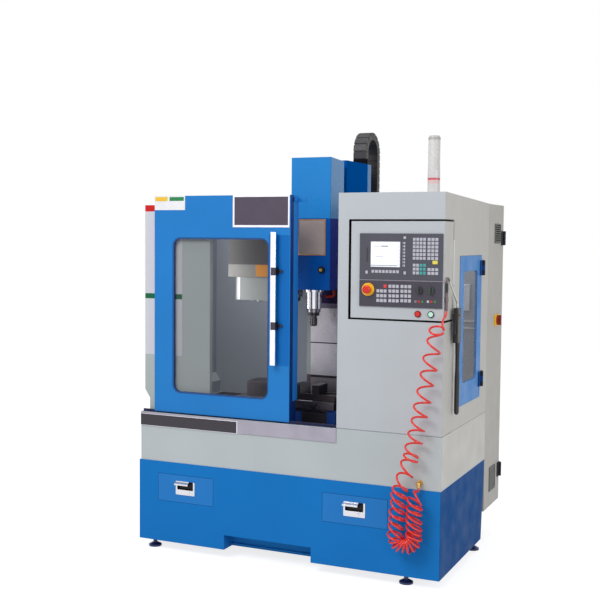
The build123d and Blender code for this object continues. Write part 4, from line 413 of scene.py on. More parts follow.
def coil_points():
    """Control points of the hose, turning round its route."""
    line = route_line(ROUTE)
    length = sum((here - before).length for before, here in zip(line, line[1:]))
    stretch = length / TURNS_DONE[-1][0]
    steps = round(TURNS_DONE[-1][1] * POINTS_PER_TURN)
    depth = Vector((0, 1, 0))
    points = []
    for step in range(steps + 1):
        turns = step / POINTS_PER_TURN
        distance = between(TURNS_DONE, turns, 1, 0)
        centre, along = place_on(line, distance * stretch)
        across = along.cross(depth).normalized()
        behind = across.cross(along)
        angle = 2 * math.pi * turns
        size = 1 - TURN_UNEVENNESS * (1 + math.sin(TURN_RATE * turns)) / 2
        radius = COIL_TURN_RADIUS * size * between(SPREAD, distance)
        uneven = 1 + DROP_UNEVENNESS * math.sin(DROP_RATE * turns)
        side_drop = between(SIDE_DROP, distance) * uneven * math.cos(angle)
        front_drop = between(FRONT_DROP, distance) * math.sin(angle)
        turn = (across * math.cos(angle) + behind * math.sin(angle)) * radius
        points.append(centre + turn + along * (side_drop + front_drop))
    return points


def air_hose():
    """The whole hose from the fitting to the coupling, one spline with its turns."""
    points = coil_points()
    data = spline_curve("air_hose", points, HOSE_RESOLUTION)
    data.bevel_depth = HOSE_DIAMETER / 2
    data.bevel_resolution = HOSE_ROUNDNESS
    data.use_fill_caps = True
    piece = bpy.data.objects.new("air_hose", data)
    bpy.context.scene.collection.objects.link(piece)
    finish = plastic("hose_polyurethane", HOSE_RED, roughness=0.22, grain=200.0, depth=0.03)
    data.materials.append(finish.material)
    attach(piece, "frame")
    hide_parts("hose_start", "hose_slack_coil", "hose_stretched_coil", "hose_end")


air_hose()

# Colours and places of the fields

GRAY_FRONT = srgb(188, 194, 199)
# Gray of the right side faces, painted for how light falls there on the same paint as the front
SIDE_LIGHTING_GRAY = srgb(198, 197, 192)
GRAY_PAN = srgb(186, 194, 196)
GRAY_PANEL = srgb(176, 184, 184)
GRAY_FOIL = srgb(210, 210, 218)
# Darker gray painted as shade on the enclosure's inner faces
INSIDE_SHADE_GRAY = srgb(150, 156, 166)
BLUE = srgb(32, 124, 200)
BLUE_STAND = srgb(30, 120, 196)
# Darker blue painted as shade on the stand's right side
STAND_SHADE_BLUE = srgb(0, 76, 142)
STILE_SHADE_BLUE = srgb(0, 104, 184)
# Door return blues: lighter as lit, and dark as the edge's shadow
LIT_RETURN_BLUE = srgb(34, 132, 222)
RETURN_SHADOW_BLUE = srgb(0, 50, 120)
BLUE_HEAD = srgb(0, 78, 160)
# Dark blue painted as the shadow under the head
HEAD_SHADOW_BLUE = srgb(40, 34, 62)
# Dark navy painted as shade on the head's right side
HEAD_SIDE_SHADE_BLUE = srgb(16, 38, 140)
BLUE_COVER = srgb(38, 130, 202)
# Pale gray-blue painted as sheen on the head cover's right side
COVER_SHEEN_BLUE = srgb(100, 154, 206)
BLACK = srgb(26, 25, 28)
REVEAL = srgb(14, 14, 16)
HINGE_BLACK = srgb(24, 26, 36)
GRILLE_DARK = srgb(112, 114, 110)
RAIL_DARK = srgb(84, 84, 100)
STEEL = srgb(176, 178, 182)
CHROME = srgb(206, 206, 212)
CASTING_DARK = srgb(56, 50, 56)
BRASS = srgb(205, 165, 90)
YELLOW = srgb(248, 186, 30)
RED = srgb(206, 30, 34)
GREEN = srgb(14, 100, 62)
WHITE = srgb(236, 236, 240)
BRIGHT_YELLOW = srgb(250, 198, 40)
# The side door's blue, painted lighter and grayer as sheen
SIDE_DOOR_SHEEN_BLUE = srgb(52, 130, 202)
HINGE_BLUE = srgb(8, 64, 132)
# How metals are worked: the grain's stretch, its scale and its depth
BRUSHED = {"grain": (1, 1, 40), "grain_scale": 60.0, "depth": 0.1}
DRAWN = {"grain": (1, 1, 0.05), "grain_scale": 500.0, "depth": 0.02}
PLANED = {"grain": (1, 20, 1), "grain_scale": 80.0, "depth": 0.05}
ROLLED = {"grain": (1, 1, 30), "grain_scale": 50.0, "depth": 0.05}
TURNED = {"grain": (1, 1, 30), "grain_scale": 60.0, "depth": 0.05}
PLATED = {"grain": (1, 1, 30), "grain_scale": 60.0, "depth": 0.04}
FINE_TURNED = {"grain": (1, 1, 40), "grain_scale": 90.0, "depth": 0.05}
# Planes just inside the machine's right face, and its right and back walls' inner faces
RIGHT_FACE = 1643.5
RIGHT_INSIDE = 1641.2
BACK_INSIDE = 812.2
# Heights of the hinges' middles, and half a hinge's height
SIDE_HINGES = (872, 1448)
REAR_HINGES = (307, 1602)
HINGE_HALF = 42


def dress(names, finish):
    """Gives CAD nodes one finish."""
    for name in names:
        mesh = nodes[name].data
        mesh.materials.clear()
        mesh.materials.append(finish.material)


def hinge_fields(x, y, heights, color):
    """Fields over the hinges at these heights."""
    return [((x[0], y[0], z - HINGE_HALF), (x[1], y[1], z + HINGE_HALF), color) for z in heights]


# Stand, pan and enclosure


def dress_stand():
    # The toe flange is painted a lighter blue as a highlight where light falls on it.
    flange_highlight = ((505, 70, 5), (992, 92, 76), srgb(40, 132, 204))
    # The stand's right side is painted a darker blue as shade.
    side = ((RIGHT_FACE, -10, -10), (1660, 1000, 440), STAND_SHADE_BLUE)
    finish = paint("stand_enamel", BLUE_STAND, [flange_highlight, side], roughness=0.45, shine=0.02)
    dress(["stand_housing"], finish)
    wells = [((231, 0.2, 283), (327, 13, 320), BLACK), ((1169, 0.2, 281), (1265, 13, 319), BLACK)]
    dress(["drawer_left", "drawer_right"], paint("drawer_enamel", BLUE_STAND, wells))
    lip_ends = [((300, -20, 290), (326, -2, 330), BLACK), ((1238, -20, 288), (1264, -2, 328), BLACK)]
    dress(
        ["drawer_pull_left", "drawer_pull_right"],
        metal("pull_chrome", CHROME, roughness=0.2, grain_scale=200.0, depth=0.05, areas=lip_ends),
    )
    dress(["levelling_feet"], plastic("foot_plastic", srgb(40, 50, 96), roughness=0.35))


def dress_pan():
    door_rail = ((0, 26, 675.5), (1120, 32.5, 689), RAIL_DARK)
    # Dark blue-gray painted as the shadow of the door track's gap on the pan.
    track_shadow = ((9, 8, 674.5), (1118, 60, 690), srgb(34, 40, 74))
    inner = ((24, 60, 430), (1628, BACK_INSIDE - 1, 675.8), CASTING_DARK)
    # The pan's right side gets the gray painted for how light falls there.
    side = ((RIGHT_FACE, 8, 430), (1660, 830, 690), SIDE_LIGHTING_GRAY)
    dress(["splash_pan"], paint("pan_enamel", GRAY_PAN, [track_shadow, inner, side], [door_rail]))
    finish = metal("brushed_aluminium", srgb(158, 154, 166), roughness=0.34, **BRUSHED)
    dress(["front_trim_strip"], finish)


def dress_panels():
    """Left front panel with its foil, and the side walls, with painted shade on their inner faces."""
    foil = ((-5, 40, 976), (232, 43, 1790), GRAY_FOIL)
    red_band = ((-5, 40, 1725), (240, 43, 1790), RED)
    green_band = ((-5, 40, 1270), (232, 43, 1297), GREEN)
    dress(["left_front_panel"], paint("left_panel_enamel", GRAY_PANEL, [foil, red_band, green_band]))
    # The walls' inner faces are painted darker as shade.
    above_step = ((10.5, 40, 792), (RIGHT_INSIDE, BACK_INSIDE, 1830), INSIDE_SHADE_GRAY)
    below_step = ((40.5, 40, 600), (RIGHT_INSIDE, BACK_INSIDE, 792), INSIDE_SHADE_GRAY)
    dress(["left_side_wall"], paint("wall_enamel", GRAY_PAN, [above_step, below_step]))
    inside = ((10.5, 40, 600), (RIGHT_INSIDE, BACK_INSIDE, 1830), INSIDE_SHADE_GRAY)
    hinges = hinge_fields((1644.4, 1680), (660, 716), SIDE_HINGES, HINGE_BLACK)
    # The right wall is coloured with the gray painted for how light falls on the right side.
    dress(["right_side_wall"], texture_paint("right_wall_coat", SIDE_LIGHTING_GRAY, [inside, *hinges]))


def dress_cabinets():
    # The cabinet's inner faces are painted darker as shade.
    inside = ((1120, 6.5, 679), (RIGHT_INSIDE, 171, 1807.2), INSIDE_SHADE_GRAY)
    # The cabinet's right side gets the gray painted for how light falls there.
    side = ((RIGHT_FACE, 6, 679), (1660, 180, 1850), SIDE_LIGHTING_GRAY)
    reveal = ((1171, 4.4, 1207.5), (1645, 145, 1684.5), REVEAL)
    dress(["operator_cabinet"], texture_paint("cabinet_coat", GRAY_FRONT, [inside, side, reveal]))
    hinges = hinge_fields((1644.4, 1670), (1094, 1160), REAR_HINGES, HINGE_BLACK)
    grilles = [
        ((1643, 947, 1573), (1650, 1075, 1680), GRILLE_DARK),
        ((1643, 920, 218), (1650, 1048, 353), GRILLE_DARK),
    ]
    switch_plate = ((1644.2, 967, 1121), (1652, 1076, 1187), BRIGHT_YELLOW)
    fields = [*grilles, switch_plate, *hinges]
    dress(["electrical_cabinet"], texture_paint("side_cabinet_coat", srgb(186, 184, 178), fields))
    # The rear door on the right side is coloured with the gray painted for how light falls there.
    dress(["electrical_door"], texture_paint("rear_door_coat", SIDE_LIGHTING_GRAY, hinges))
    dress(["main_switch_handle"], plastic("switch_plastic", srgb(150, 34, 24), roughness=0.3))
    backplate = ((1000, 817, 100), (1680, 821.5, 1800), STEEL)
    finish = plastic("drive_plastic", srgb(70, 74, 78), roughness=0.5, metals=[backplate])
    dress(["electrical_equipment"], finish)


# Console

KEY = srgb(184, 184, 196)
KEY_TEAL = srgb(70, 160, 160)
KEY_YELLOW = srgb(232, 214, 90)
KEY_RED = srgb(190, 40, 48)
KEY_GREEN = srgb(50, 126, 76)
KEY_GRAY = srgb(124, 126, 122)
PANEL = srgb(70, 70, 82)
PANEL_LOW = srgb(58, 54, 68)
# A little in front of the panels' face: what stands out of it is a key
KEY_FACE = -6.4
LINE_ROWS = 6
LINE_PITCH = 16


def keyed(name, base, areas):
    """Foil keyboard: what stands out of the panel's face is a key."""
    finish = Finish(name)
    front = at(0, KEY_FACE, 0).y
    keys = finish.math("LESS_THAN", finish.axis(1), front)
    key_color = finish.fields(toned(finish, KEY, scale=60.0), areas)
    finish.set("Base Color", finish.mix(keys, toned(finish, base, scale=8.0), key_color))
    finish.rough(0.42, scale=30.0, spread=0.1)
    finish.soft_edges(KEY_EDGE)
    finish.bump(finish.noise(FOIL_SCALE), 0.1, FOIL_HEIGHT)
    return finish


def lit_screen():
    """White screen with a few plain bars, without words."""
    bar = srgb(190, 196, 214)
    dark = srgb(90, 94, 110)
    areas = [
        ((1286, -9, 1466), (1419, 0, 1470), srgb(150, 154, 170)),
        ((1304, -9, 1556), (1334, 0, 1560), bar),
        ((1338, -9, 1556), (1372, 0, 1560), dark),
        ((1312, -9, 1508), (1346, 0, 1512), bar),
    ]
    for row in range(LINE_ROWS):
        low = 1474 + row * LINE_PITCH
        areas.append(((1420, -9, low), (1430, 0, low + 2), bar))
    finish = Finish("lit_screen")
    color = finish.fields(srgb(236, 238, 246), areas)
    finish.set("Base Color", color)
    finish.set("Emission Color", color)
    finish.set("Emission Strength", 0.25)
    finish.set("Roughness", 0.12)
    finish.bump(finish.noise(60.0, 1.0), 0.02, 0.0002)
    return finish


def dress_console():
    bezels = [
        ((1505, -6, 1229), (1537, -0.5, 1262), srgb(120, 26, 26)),
        ((1568, -6, 1229), (1601, -0.5, 1262), srgb(50, 54, 56)),
    ]
    # The console's right side gets the gray painted for how light falls there.
    side = ((RIGHT_FACE, 2, 1200), (1646, 150, 1690), SIDE_LIGHTING_GRAY)
    hook = ((1646.5, 100, 1200), (1700, 170, 1280), srgb(150, 148, 146))
    dress(["console_box"], paint("console_coat", GRAY_FRONT, [side, *bezels], [hook], roughness=0.5))
    top_keys = [
        ((1527, -9, 1416), (1560, -6.1, 1481), KEY_TEAL),
        ((1588, -9, 1470), (1618, -6.1, 1498), KEY_YELLOW),
        ((1430, -9, 1400), (1452, -6.1, 1590), srgb(140, 142, 152)),
    ]
    dress(["display_unit"], keyed("display_foil", PANEL, top_keys))
    low_keys = [
        ((1240, -14, 1318), (1312, -6.1, 1390), YELLOW),
        ((1352, -9, 1360), (1371, -6.1, 1381), srgb(232, 60, 60)),
        ((1504, -9, 1296), (1518, -6.1, 1311), KEY_GRAY),
        ((1520, -9, 1296), (1534, -6.1, 1311), KEY_RED),
        ((1536, -9, 1296), (1552, -6.1, 1311), KEY_GREEN),
        ((1580, -9, 1297), (1596, -6.1, 1313), KEY_RED),
        ((1597, -9, 1297), (1612, -6.1, 1313), KEY_GREEN),
    ]
    dress(["machine_panel"], keyed("panel_foil", PANEL_LOW, low_keys))
    dress(["display_screen"], lit_screen())
    dress(["estop_button", "stop_button"], plastic("red_plastic", srgb(216, 34, 24), roughness=0.25))
    dress(["start_button"], plastic("lit_green_plastic", srgb(196, 244, 224), roughness=0.2))
    dress(["feed_override_knob"], plastic("knob_plastic", srgb(46, 46, 50), roughness=0.4))
    dress(["spindle_override_knob"], plastic("knob_plastic_green", srgb(50, 62, 54), roughness=0.4))


# Signal tower

# Ribs of the lens, in radians per metre of its height
LENS_RIBS = 1400.0


def tower_lens():
    """Milky lens with fine ribs and a duller cap."""
    finish = Finish("tower_lens")
    ribs = finish.math("SINE", finish.math("MULTIPLY", finish.axis(2), LENS_RIBS))
    cap = finish.inside((1500, 50, 2055), (1600, 150, 2090))
    finish.set("Base Color", finish.mix(cap, srgb(230, 228, 226), srgb(196, 192, 190)))
    finish.set("Roughness", 0.22)
    finish.set("Transmission Weight", 0.25)
    finish.bump(ribs, 0.25, 0.0008)
    return finish


def dress_tower():
    red_ring = ((1500, 50, 1868), (1600, 150, 1878), srgb(206, 90, 98))
    faint_ring = ((1500, 50, 1851), (1600, 150, 1868), srgb(222, 190, 190))
    rings = [red_ring, faint_ring]
    finish = plastic("tower_plastic", srgb(212, 208, 208), roughness=0.3, areas=rings)
    dress(["signal_tower_body"], finish)
    dress(["signal_tower_lens"], tower_lens())


# Doors


def window_glass(name):
    """Thin pane that is seen through, with a clear gloss."""
    finish = Finish(name)
    tint = finish.ramp(finish.noise(1.5, 2.0), 0.35, 0.65)
    finish.set("Base Color", finish.mix(tint, srgb(36, 42, 50), srgb(52, 60, 68)))
    finish.set("Roughness", 0.05)
    finish.set("Alpha", 0.14)
    finish.set("Coat Weight", 1.0)
    finish.set("Coat Roughness", 0.02)
    finish.bump(finish.noise(3.0, 1.0), 0.05, 0.002)
    return finish


def dress_doors():
    # A darker blue painted as shade on the door's right stile.
    door_shade_field = ((740, 15, 960), (854, 21, 1607), STILE_SHADE_BLUE)
    # The door's right return is painted dark as shadow at its front edge, and lighter behind it as
    # lit.
    edge_shadow = ((857.6, 20.6, 670), (862, 58, 1810), RETURN_SHADOW_BLUE)
    lit_return = ((857.6, 58, 670), (862, 120, 1810), LIT_RETURN_BLUE)
    return_foot = ((851, 37, 670), (862, 100, 782), srgb(10, 44, 110))
    fields = [door_shade_field, edge_shadow, lit_return, return_foot]
    dress(["front_door"], paint("door_enamel", BLUE, fields))
    dress(["door_glass"], window_glass("front_glass"))
    dress(["side_door_glass"], window_glass("side_glass"))
    dress(["door_gasket"], plastic("gasket_rubber", srgb(16, 70, 130), roughness=0.6))
    dress(["door_grip"], metal("grip_chrome", srgb(250, 248, 250), roughness=0.3, **DRAWN))
    dress(["door_grip_clamps"], metal("clamp_steel", srgb(74, 70, 78), roughness=0.35))
    leaves = hinge_fields((1646.3, 1680), (610, 690), SIDE_HINGES, HINGE_BLUE)
    # The side door is painted a lighter, grayer blue than the front door as sheen.
    dress(["side_door"], paint("side_door_enamel", SIDE_DOOR_SHEEN_BLUE, leaves, shine=0.15))


# Machine inside


def dress_bed():
    near_black = ((820, 240, 600), (962, 440, 700), srgb(34, 30, 36))
    finish = paint("casting_enamel", srgb(14, 56, 120), [near_black], roughness=0.5, peel=0.3)
    dress(["machine_bed", "saddle"], finish)
    dress(["guide_rails"], metal("ground_rail", STEEL, roughness=0.25))


def dress_table():
    """Dark casting with a planed top and ground vise jaws."""
    top = ((430, 250, 753.5), (1010, 420, 755.4), srgb(104, 98, 102))
    housing = ((496, 250, 755.4), (628, 420, 845), srgb(52, 46, 52))
    fields = [top, housing]
    finish = metal("planed_table", srgb(84, 78, 84), roughness=0.4, areas=fields, **PLANED)
    dress(["work_table"], finish)
    ground = [
        ((760, 270, 788.5), (1000, 276, 792), STEEL),
        ((760, 270, 834), (1000, 276, 840), STEEL),
        ((804.6, 270, 789), (868, 400, 840), CHROME),
        ((994, 300, 760), (1020, 370, 790), CHROME),
    ]
    finish = metal("blackened_steel", srgb(62, 56, 60), roughness=0.4, areas=ground)
    dress(["vise_body", "vise_jaw"], finish)


def dress_column():
    strip = ((739, 498, 860), (773, 501, 1330), srgb(150, 158, 156))
    low_front = ((739, 498, 790), (961, 501, 860), srgb(88, 80, 84))
    foot = ((739, 498, 590), (961, 501, 790), srgb(45, 42, 48))
    chain_foot = ((870, 780, 2004), (970, 830, 2110), BLACK)
    cover = ((773, 470, 699), (927, 499, 873), srgb(120, 116, 122))
    fields = [strip, low_front, foot, chain_foot]
    finish = paint("column_enamel", srgb(0, 86, 170), fields, [cover], roughness=0.5, shine=0.0)
    dress(["column"], finish)
    arm = ((860, 878.2, 1400), (970, 1030, 1560), BLACK)
    dress(["column_rear_cover"], paint("rear_cover_enamel", srgb(92, 138, 192), [arm], shine=0.15))
    fields = [
        ((700, 460, 1034), (1000, 499, 1040), CASTING_DARK),
        ((700, 460, 850), (1000, 499, 863), CASTING_DARK),
        # Shadow painted under the head on the way cover: a gray-violet edge, then dark blue.
        ((814, 460, 1222), (1000, 499, 1248), srgb(96, 90, 106)),
        ((814, 460, 1248), (1000, 499, 1352), HEAD_SHADOW_BLUE),
    ]
    finish = metal("way_cover_steel", srgb(176, 172, 180), roughness=0.35, areas=fields, **ROLLED)
    dress(["way_cover_upper", "way_cover_middle"], finish)
    dress(["cable_chain"], plastic("chain_plastic", srgb(30, 26, 30), roughness=0.5))


def dress_head():
    # The head's right side is painted dark navy as shade.
    side = ((960.6, 281.5, 1320), (963, 471, 1700), HEAD_SIDE_SHADE_BLUE)
    port_ring = ((890, 268.8, 1405), (942, 280.8, 1457), BLACK)
    nozzle = ((880, 340, 1270), (965, 385, 1326.6), srgb(160, 44, 30))
    port = ((890, 255, 1405), (942, 268.8, 1457), BRASS)
    rails = ((700, 470.2, 1300), (1000, 505, 1800), STEEL)
    fields = [side, port_ring, nozzle]
    finish = paint("head_enamel", BLUE_HEAD, fields, [port, rails], roughness=0.32, shine=0.15)
    dress(["head_casting"], finish)
    # The cover's right side is painted pale gray-blue as sheen.
    cover_sheen = ((960.6, 284.5, 1690), (963, 460, 2010), COVER_SHEEN_BLUE)
    finish = paint("head_cover_enamel", BLUE_COVER, [cover_sheen], roughness=0.32, shine=0.15)
    dress(["head_cover"], finish)
    finish = metal("cartridge_chrome", srgb(236, 234, 238), roughness=0.16, **PLATED)
    dress(["spindle_cartridge"], finish)
    dress(["spindle"], metal("spindle_steel", srgb(150, 146, 152), roughness=0.22, **TURNED))
    finish = metal("holder_steel", srgb(92, 88, 94), roughness=0.25, **FINE_TURNED)
    dress(["tool_holder"], finish)


def dress_magazine():
    band = ((390, 230, 1380), (740, 246, 1452), srgb(134, 133, 130))
    skirt = ((400, 230, 1260), (740, 630, 1384), srgb(148, 152, 150))
    dress(["magazine_cover"], paint("magazine_enamel", srgb(80, 78, 78), [band, skirt], shine=0.1))
    dress(["tool_carousel"], metal("carousel_aluminium", srgb(190, 192, 194), roughness=0.4))
    finish = metal("stored_steel", srgb(170, 168, 172), roughness=0.22, **FINE_TURNED)
    dress(["stored_tools"], finish)


# Air line


def dress_air_line():
    dress(["air_fitting"], metal("fitting_brass", BRASS, roughness=0.3))
    metals = [
        ((1640, -5, 1261.8), (1664, 40, 1347), srgb(110, 98, 104)),
        ((1640, -5, 1390), (1690, 40, 1450), srgb(110, 98, 104)),
        ((1656, 40, 1271), (1690, 200, 1450), srgb(190, 188, 182)),
    ]
    dress(["air_gun"], plastic("gun_plastic", BLACK, roughness=0.4, metals=metals))
    dress(["air_gun_lever"], plastic("lever_plastic", srgb(34, 34, 38), roughness=0.4))


dress_stand()
dress_pan()
dress_panels()
dress_cabinets()
dress_console()
dress_tower()
dress_doors()
dress_bed()
dress_table()
dress_column()
dress_head()
dress_magazine()
dress_air_line()

# Pieces made here

# Most of a plate's thickness that its rounded edge may take
EDGE_SHARE = 0.45


def keep(mesh_data, name, finish, body):
    """Puts a mesh in the scene as a piece that rides on a body."""
    piece = bpy.data.objects.new(name, mesh_data)
    bpy.context.scene.collection.objects.link(piece)
    piece.data.materials.append(finish.material)
    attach(piece, body)


def rounded_block(name, low, high, edge, finish, body, slot):
    """A block with rounded edges, given by its low and high corner on the machine."""
    low, high = at(*low), at(*high)
    shape = bmesh.new()
    bmesh.ops.create_cube(shape, size=1.0)
    size = high - low
    bmesh.ops.scale(shape, vec=size, verts=shape.verts)
    bmesh.ops.translate(shape, vec=(low + high) / 2, verts=shape.verts)
    edge = min(edge / 1000, min(size) * EDGE_SHARE)
    made = bmesh.ops.bevel(
        shape, geom=shape.edges[:], offset=edge, segments=3, profile=0.5, affect="EDGES"
    )
    for face in made["faces"]:
        face.smooth = True
    mesh_data = bpy.data.meshes.new(name)
    shape.to_mesh(mesh_data)
    shape.free()
    keep(mesh_data, name, finish, body)


FRAME_METAL = metal("plate_frame", srgb(232, 232, 240), roughness=0.4)
PANEL_FOIL = plastic("plate_dark", srgb(70, 60, 77), roughness=0.4)
BLACK_FOIL = plastic("plate_black", srgb(44, 38, 48), roughness=0.45)
WHITE_FOIL = plastic("plate_white", WHITE, roughness=0.4)
BEIGE_FOIL = plastic("plate_beige", srgb(160, 145, 140), roughness=0.45)
BRONZE = metal("plate_bronze", srgb(190, 140, 84), roughness=0.4)
YELLOW_FOIL = plastic("yellow_foil", srgb(236, 190, 50), roughness=0.45)
GREEN_FOIL = plastic("green_foil", srgb(14, 124, 66), roughness=0.45)
ORANGE_FOIL = plastic("orange_foil", srgb(204, 128, 10), roughness=0.45)
POST_WHITE = plastic("post_white", srgb(220, 222, 226), roughness=0.35)
RAIL_SILVER = metal("rail_silver", srgb(196, 198, 204), roughness=0.3)
STRIP_GRAY = plastic("strip_gray", srgb(140, 134, 146), roughness=0.4)
# Light gray plastic for ground steel, painted bright as its glints
GLINT_STEEL = plastic("steel_glint", srgb(206, 206, 210), roughness=0.25)
SLOT_DARK = plastic("slot_dark", srgb(44, 43, 52), roughness=0.4)
# The corner plate inside the enclosure is painted the darker gray as shade.
CORNER_GRAY = paint("corner_enamel", INSIDE_SHADE_GRAY)

DOOR = "front_door_body"
HEAD = "head_body"
TABLE = "table_body"
ENCLOSURE = "enclosure_paint"
# Each plate: low corner, high corner, radius of its edges, finish, body, slot
PLATES = {
    "door_plate_frame": ((539, 17.6, 1644), (853, 20, 1804), 1.0, FRAME_METAL, DOOR, "trim_steel"),
    "door_plate_field": ((549, 16.9, 1655), (845, 18, 1795), 0.6, PANEL_FOIL, DOOR, "panel_black"),
    "door_label": ((80.5, 19.2, 1731), (262, 20, 1803.5), 0.3, WHITE_FOIL, DOOR, "tower_white"),
    "label_yellow": ((84, 18.9, 1777), (158, 19.4, 1799), 0.2, YELLOW_FOIL, DOOR, "tower_white"),
    "label_green": ((170, 18.9, 1778), (255, 19.4, 1798), 0.2, GREEN_FOIL, DOOR, "tower_white"),
    "trim_plate": ((8.5, -1.6, 606), (576, 0, 665), 0.6, BLACK_FOIL, "frame", "panel_black"),
    "trim_plate_edge": ((8.5, -0.9, 604), (580, 0, 666.5), 0.4, FRAME_METAL, "frame", "trim_steel"),
    "head_plate_frame": ((782, 279.0, 1505), (935, 281, 1689), 0.6, BRONZE, HEAD, "trim_steel"),
    "head_plate_field": ((788, 278.3, 1511), (929, 279.5, 1683), 0.5, BEIGE_FOIL, HEAD, "trim_steel"),
    "magazine_plate": ((559, 238.2, 1391), (632, 240, 1452), 0.5, ORANGE_FOIL, "frame", "cover_gray"),
    # A white bar painted as the highlight on the magazine skirt's rounded corner.
    "magazine_corner_highlight": ((451, 241, 1268), (468, 243, 1384), 0.6, POST_WHITE, "frame", "cover_gray"),
    "work_light": ((1516, 798, 1213), (1552, 812, 1355), 2.0, POST_WHITE, "frame", "tower_white"),
    "card_slot": ((1266, -6.5, 1484), (1274, -5.6, 1552), 0.3, SLOT_DARK, "frame", "panel_black"),
    "panel_joint": ((1232, -6.7, 1397), (1643, -5.4, 1400.5), 0.3, STRIP_GRAY, "frame", "panel_black"),
    # A white strip painted as the highlight on the console box's bent rear edge.
    "console_edge_highlight": ((1639, 147, 1380), (1647.5, 156, 1590), 2.5, WHITE_FOIL, "frame", ENCLOSURE),
    # The fixture block and the table's edge are ground steel painted bright as glints.
    "fixture_block": ((702, 262, 755.1), (748, 300, 790), 2.0, GLINT_STEEL, TABLE, "ground_steel"),
    "table_edge": ((806, 253.5, 755.05), (880, 262, 757), 0.6, GLINT_STEEL, TABLE, "ground_steel"),
    "pipe_rail_low": ((1520, 804, 1112), (1590, 812, 1122), 2.0, RAIL_SILVER, "frame", "trim_steel"),
    "pipe_rail_high": ((1520, 804, 1150), (1590, 812, 1160), 2.0, RAIL_SILVER, "frame", "trim_steel"),
}

# The corner plate's outline as X and Z, and its front and back
CORNER_OUTLINE = [(42, 744), (60, 744), (60, 800), (12, 800), (12, 791)]
CORNER_FRONT = 808.5
CORNER_BACK = 811.5


def corner_plate():
    """Closes the back corner where the left wall steps in."""
    shape = bmesh.new()
    back = [shape.verts.new(at(x, CORNER_BACK, z)) for x, z in CORNER_OUTLINE]
    front = [shape.verts.new(at(x, CORNER_FRONT, z)) for x, z in CORNER_OUTLINE]
    shape.faces.new(back)
    shape.faces.new(front[::-1])
    for index, corner in enumerate(back):
        shape.faces.new([back[index - 1], front[index - 1], front[index], corner])
    bmesh.ops.recalc_face_normals(shape, faces=shape.faces[:])
    mesh_data = bpy.data.meshes.new("corner_plate")
    shape.to_mesh(mesh_data)
    shape.free()
    keep(mesh_data, "corner_plate", CORNER_GRAY, "frame")


corner_plate()
for plate, facts in PLATES.items():
    rounded_block(plate, *facts)

# Floor, light and backdrop

WORLD_LIGHT = 0.50
BACKDROP = 1.0
FLOOR_GLOW = 0.80
FLOOR_REACH = 30.0
# The floor's colour as it lights the machine, and as it takes the shadow that is seen
FLOOR_COLOR = (0.62, 0.62, 0.63, 1)
FLOOR_SEEN = (0.42, 0.42, 0.43, 1)
WHITE_LIGHT = (1, 1, 1, 1)
# Each lamp: place, target, width and height, power
LAMPS = {
    "front_softbox": ((-1.6, -5.2, 5.2), (0, -0.4, 1.0), (3.4, 2.6), 210.0),
    "top_softbox": ((0.2, -0.4, 5.6), (0, 0, 1.0), (3.5, 3.0), 75.0),
    "work_lamp": (at(330, 95, 1200), at(640, 812, 1150), (0.12, 1.0), 2.4),
    "side_fill": ((5.5, -2.0, 2.4), (0.8, 0, 1.0), (2.0, 2.0), 60.0),
}


def seen_rays(tree):
    """1 for the rays of the camera, glass and gloss."""
    rays = tree.nodes.new("ShaderNodeLightPath")
    level = rays.outputs["Is Camera Ray"]
    for kind in ("Is Transmission Ray", "Is Glossy Ray"):
        either = tree.nodes.new("ShaderNodeMath")
        either.operation = "MAXIMUM"
        tree.links.new(level, either.inputs[0])
        tree.links.new(rays.outputs[kind], either.inputs[1])
        level = either.outputs[0]
    return level


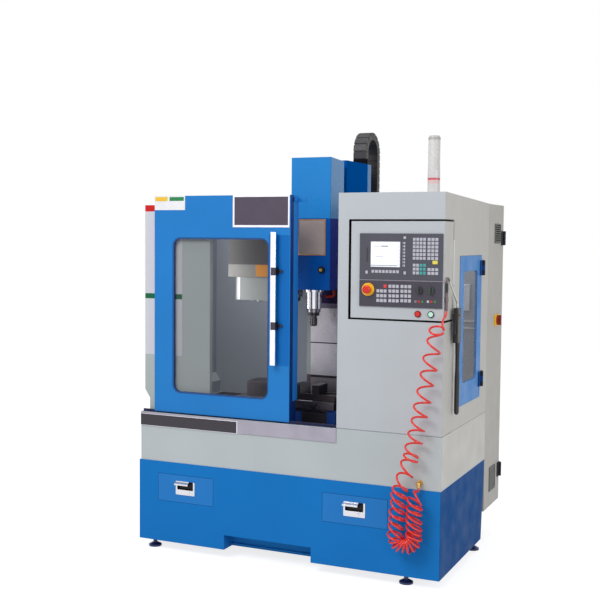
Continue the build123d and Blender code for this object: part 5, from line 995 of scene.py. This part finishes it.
def floor():
    """Nearly white to the camera, glass and gloss, with the machine's shadow on it."""
    data = bpy.data.meshes.new("floor")
    signs = [(-1, -1), (1, -1), (1, 1), (-1, 1)]
    corners = [(x * FLOOR_REACH, y * FLOOR_REACH, 0) for x, y in signs]
    data.from_pydata(corners, [], [(0, 1, 2, 3)])
    plane = bpy.data.objects.new("floor", data)
    bpy.context.scene.collection.objects.link(plane)
    material = bpy.data.materials.new("pale_floor")
    material.use_nodes = True
    tree = material.node_tree
    tree.nodes.clear()
    output = tree.nodes.new("ShaderNodeOutputMaterial")
    diffuse = tree.nodes.new("ShaderNodeBsdfDiffuse")
    diffuse.inputs["Color"].default_value = FLOOR_COLOR
    seen = tree.nodes.new("ShaderNodeBsdfDiffuse")
    seen.inputs["Color"].default_value = FLOOR_SEEN
    glow = tree.nodes.new("ShaderNodeEmission")
    glow.inputs["Color"].default_value = WHITE_LIGHT
    glow.inputs["Strength"].default_value = FLOOR_GLOW
    both = tree.nodes.new("ShaderNodeAddShader")
    tree.links.new(seen.outputs[0], both.inputs[0])
    tree.links.new(glow.outputs[0], both.inputs[1])
    mixed = tree.nodes.new("ShaderNodeMixShader")
    tree.links.new(seen_rays(tree), mixed.inputs[0])
    tree.links.new(diffuse.outputs[0], mixed.inputs[1])
    tree.links.new(both.outputs[0], mixed.inputs[2])
    tree.links.new(mixed.outputs[0], output.inputs[0])
    data.materials.append(material)


def backdrop():
    """White to the camera, glass and gloss, softer as light."""
    world = bpy.data.worlds.new("studio")
    bpy.context.scene.world = world
    world.use_nodes = True
    tree = world.node_tree
    tree.nodes.clear()
    output = tree.nodes.new("ShaderNodeOutputWorld")
    light = tree.nodes.new("ShaderNodeBackground")
    light.inputs["Color"].default_value = WHITE_LIGHT
    light.inputs["Strength"].default_value = WORLD_LIGHT
    seen = tree.nodes.new("ShaderNodeBackground")
    seen.inputs["Color"].default_value = WHITE_LIGHT
    seen.inputs["Strength"].default_value = BACKDROP
    mixed = tree.nodes.new("ShaderNodeMixShader")
    tree.links.new(seen_rays(tree), mixed.inputs[0])
    tree.links.new(light.outputs[0], mixed.inputs[1])
    tree.links.new(seen.outputs[0], mixed.inputs[2])
    tree.links.new(mixed.outputs[0], output.inputs[0])


def area_light(name, place, target, size, power):
    """A lamp that faces its target, and isn't seen itself."""
    data = bpy.data.lights.new(name, "AREA")
    data.shape = "RECTANGLE"
    data.size, data.size_y = size
    data.energy = power
    lamp = bpy.data.objects.new(name, data)
    bpy.context.scene.collection.objects.link(lamp)
    lamp.location = place
    away = Vector(target) - Vector(place)
    lamp.rotation_euler = away.to_track_quat("-Z", "Y").to_euler()
    lamp.visible_camera = False
    lamp.visible_transmission = False


floor()
backdrop()
for lamp_name, lamp_facts in LAMPS.items():
    area_light(lamp_name, *lamp_facts)
bpy.context.scene.view_settings.view_transform = "Standard"
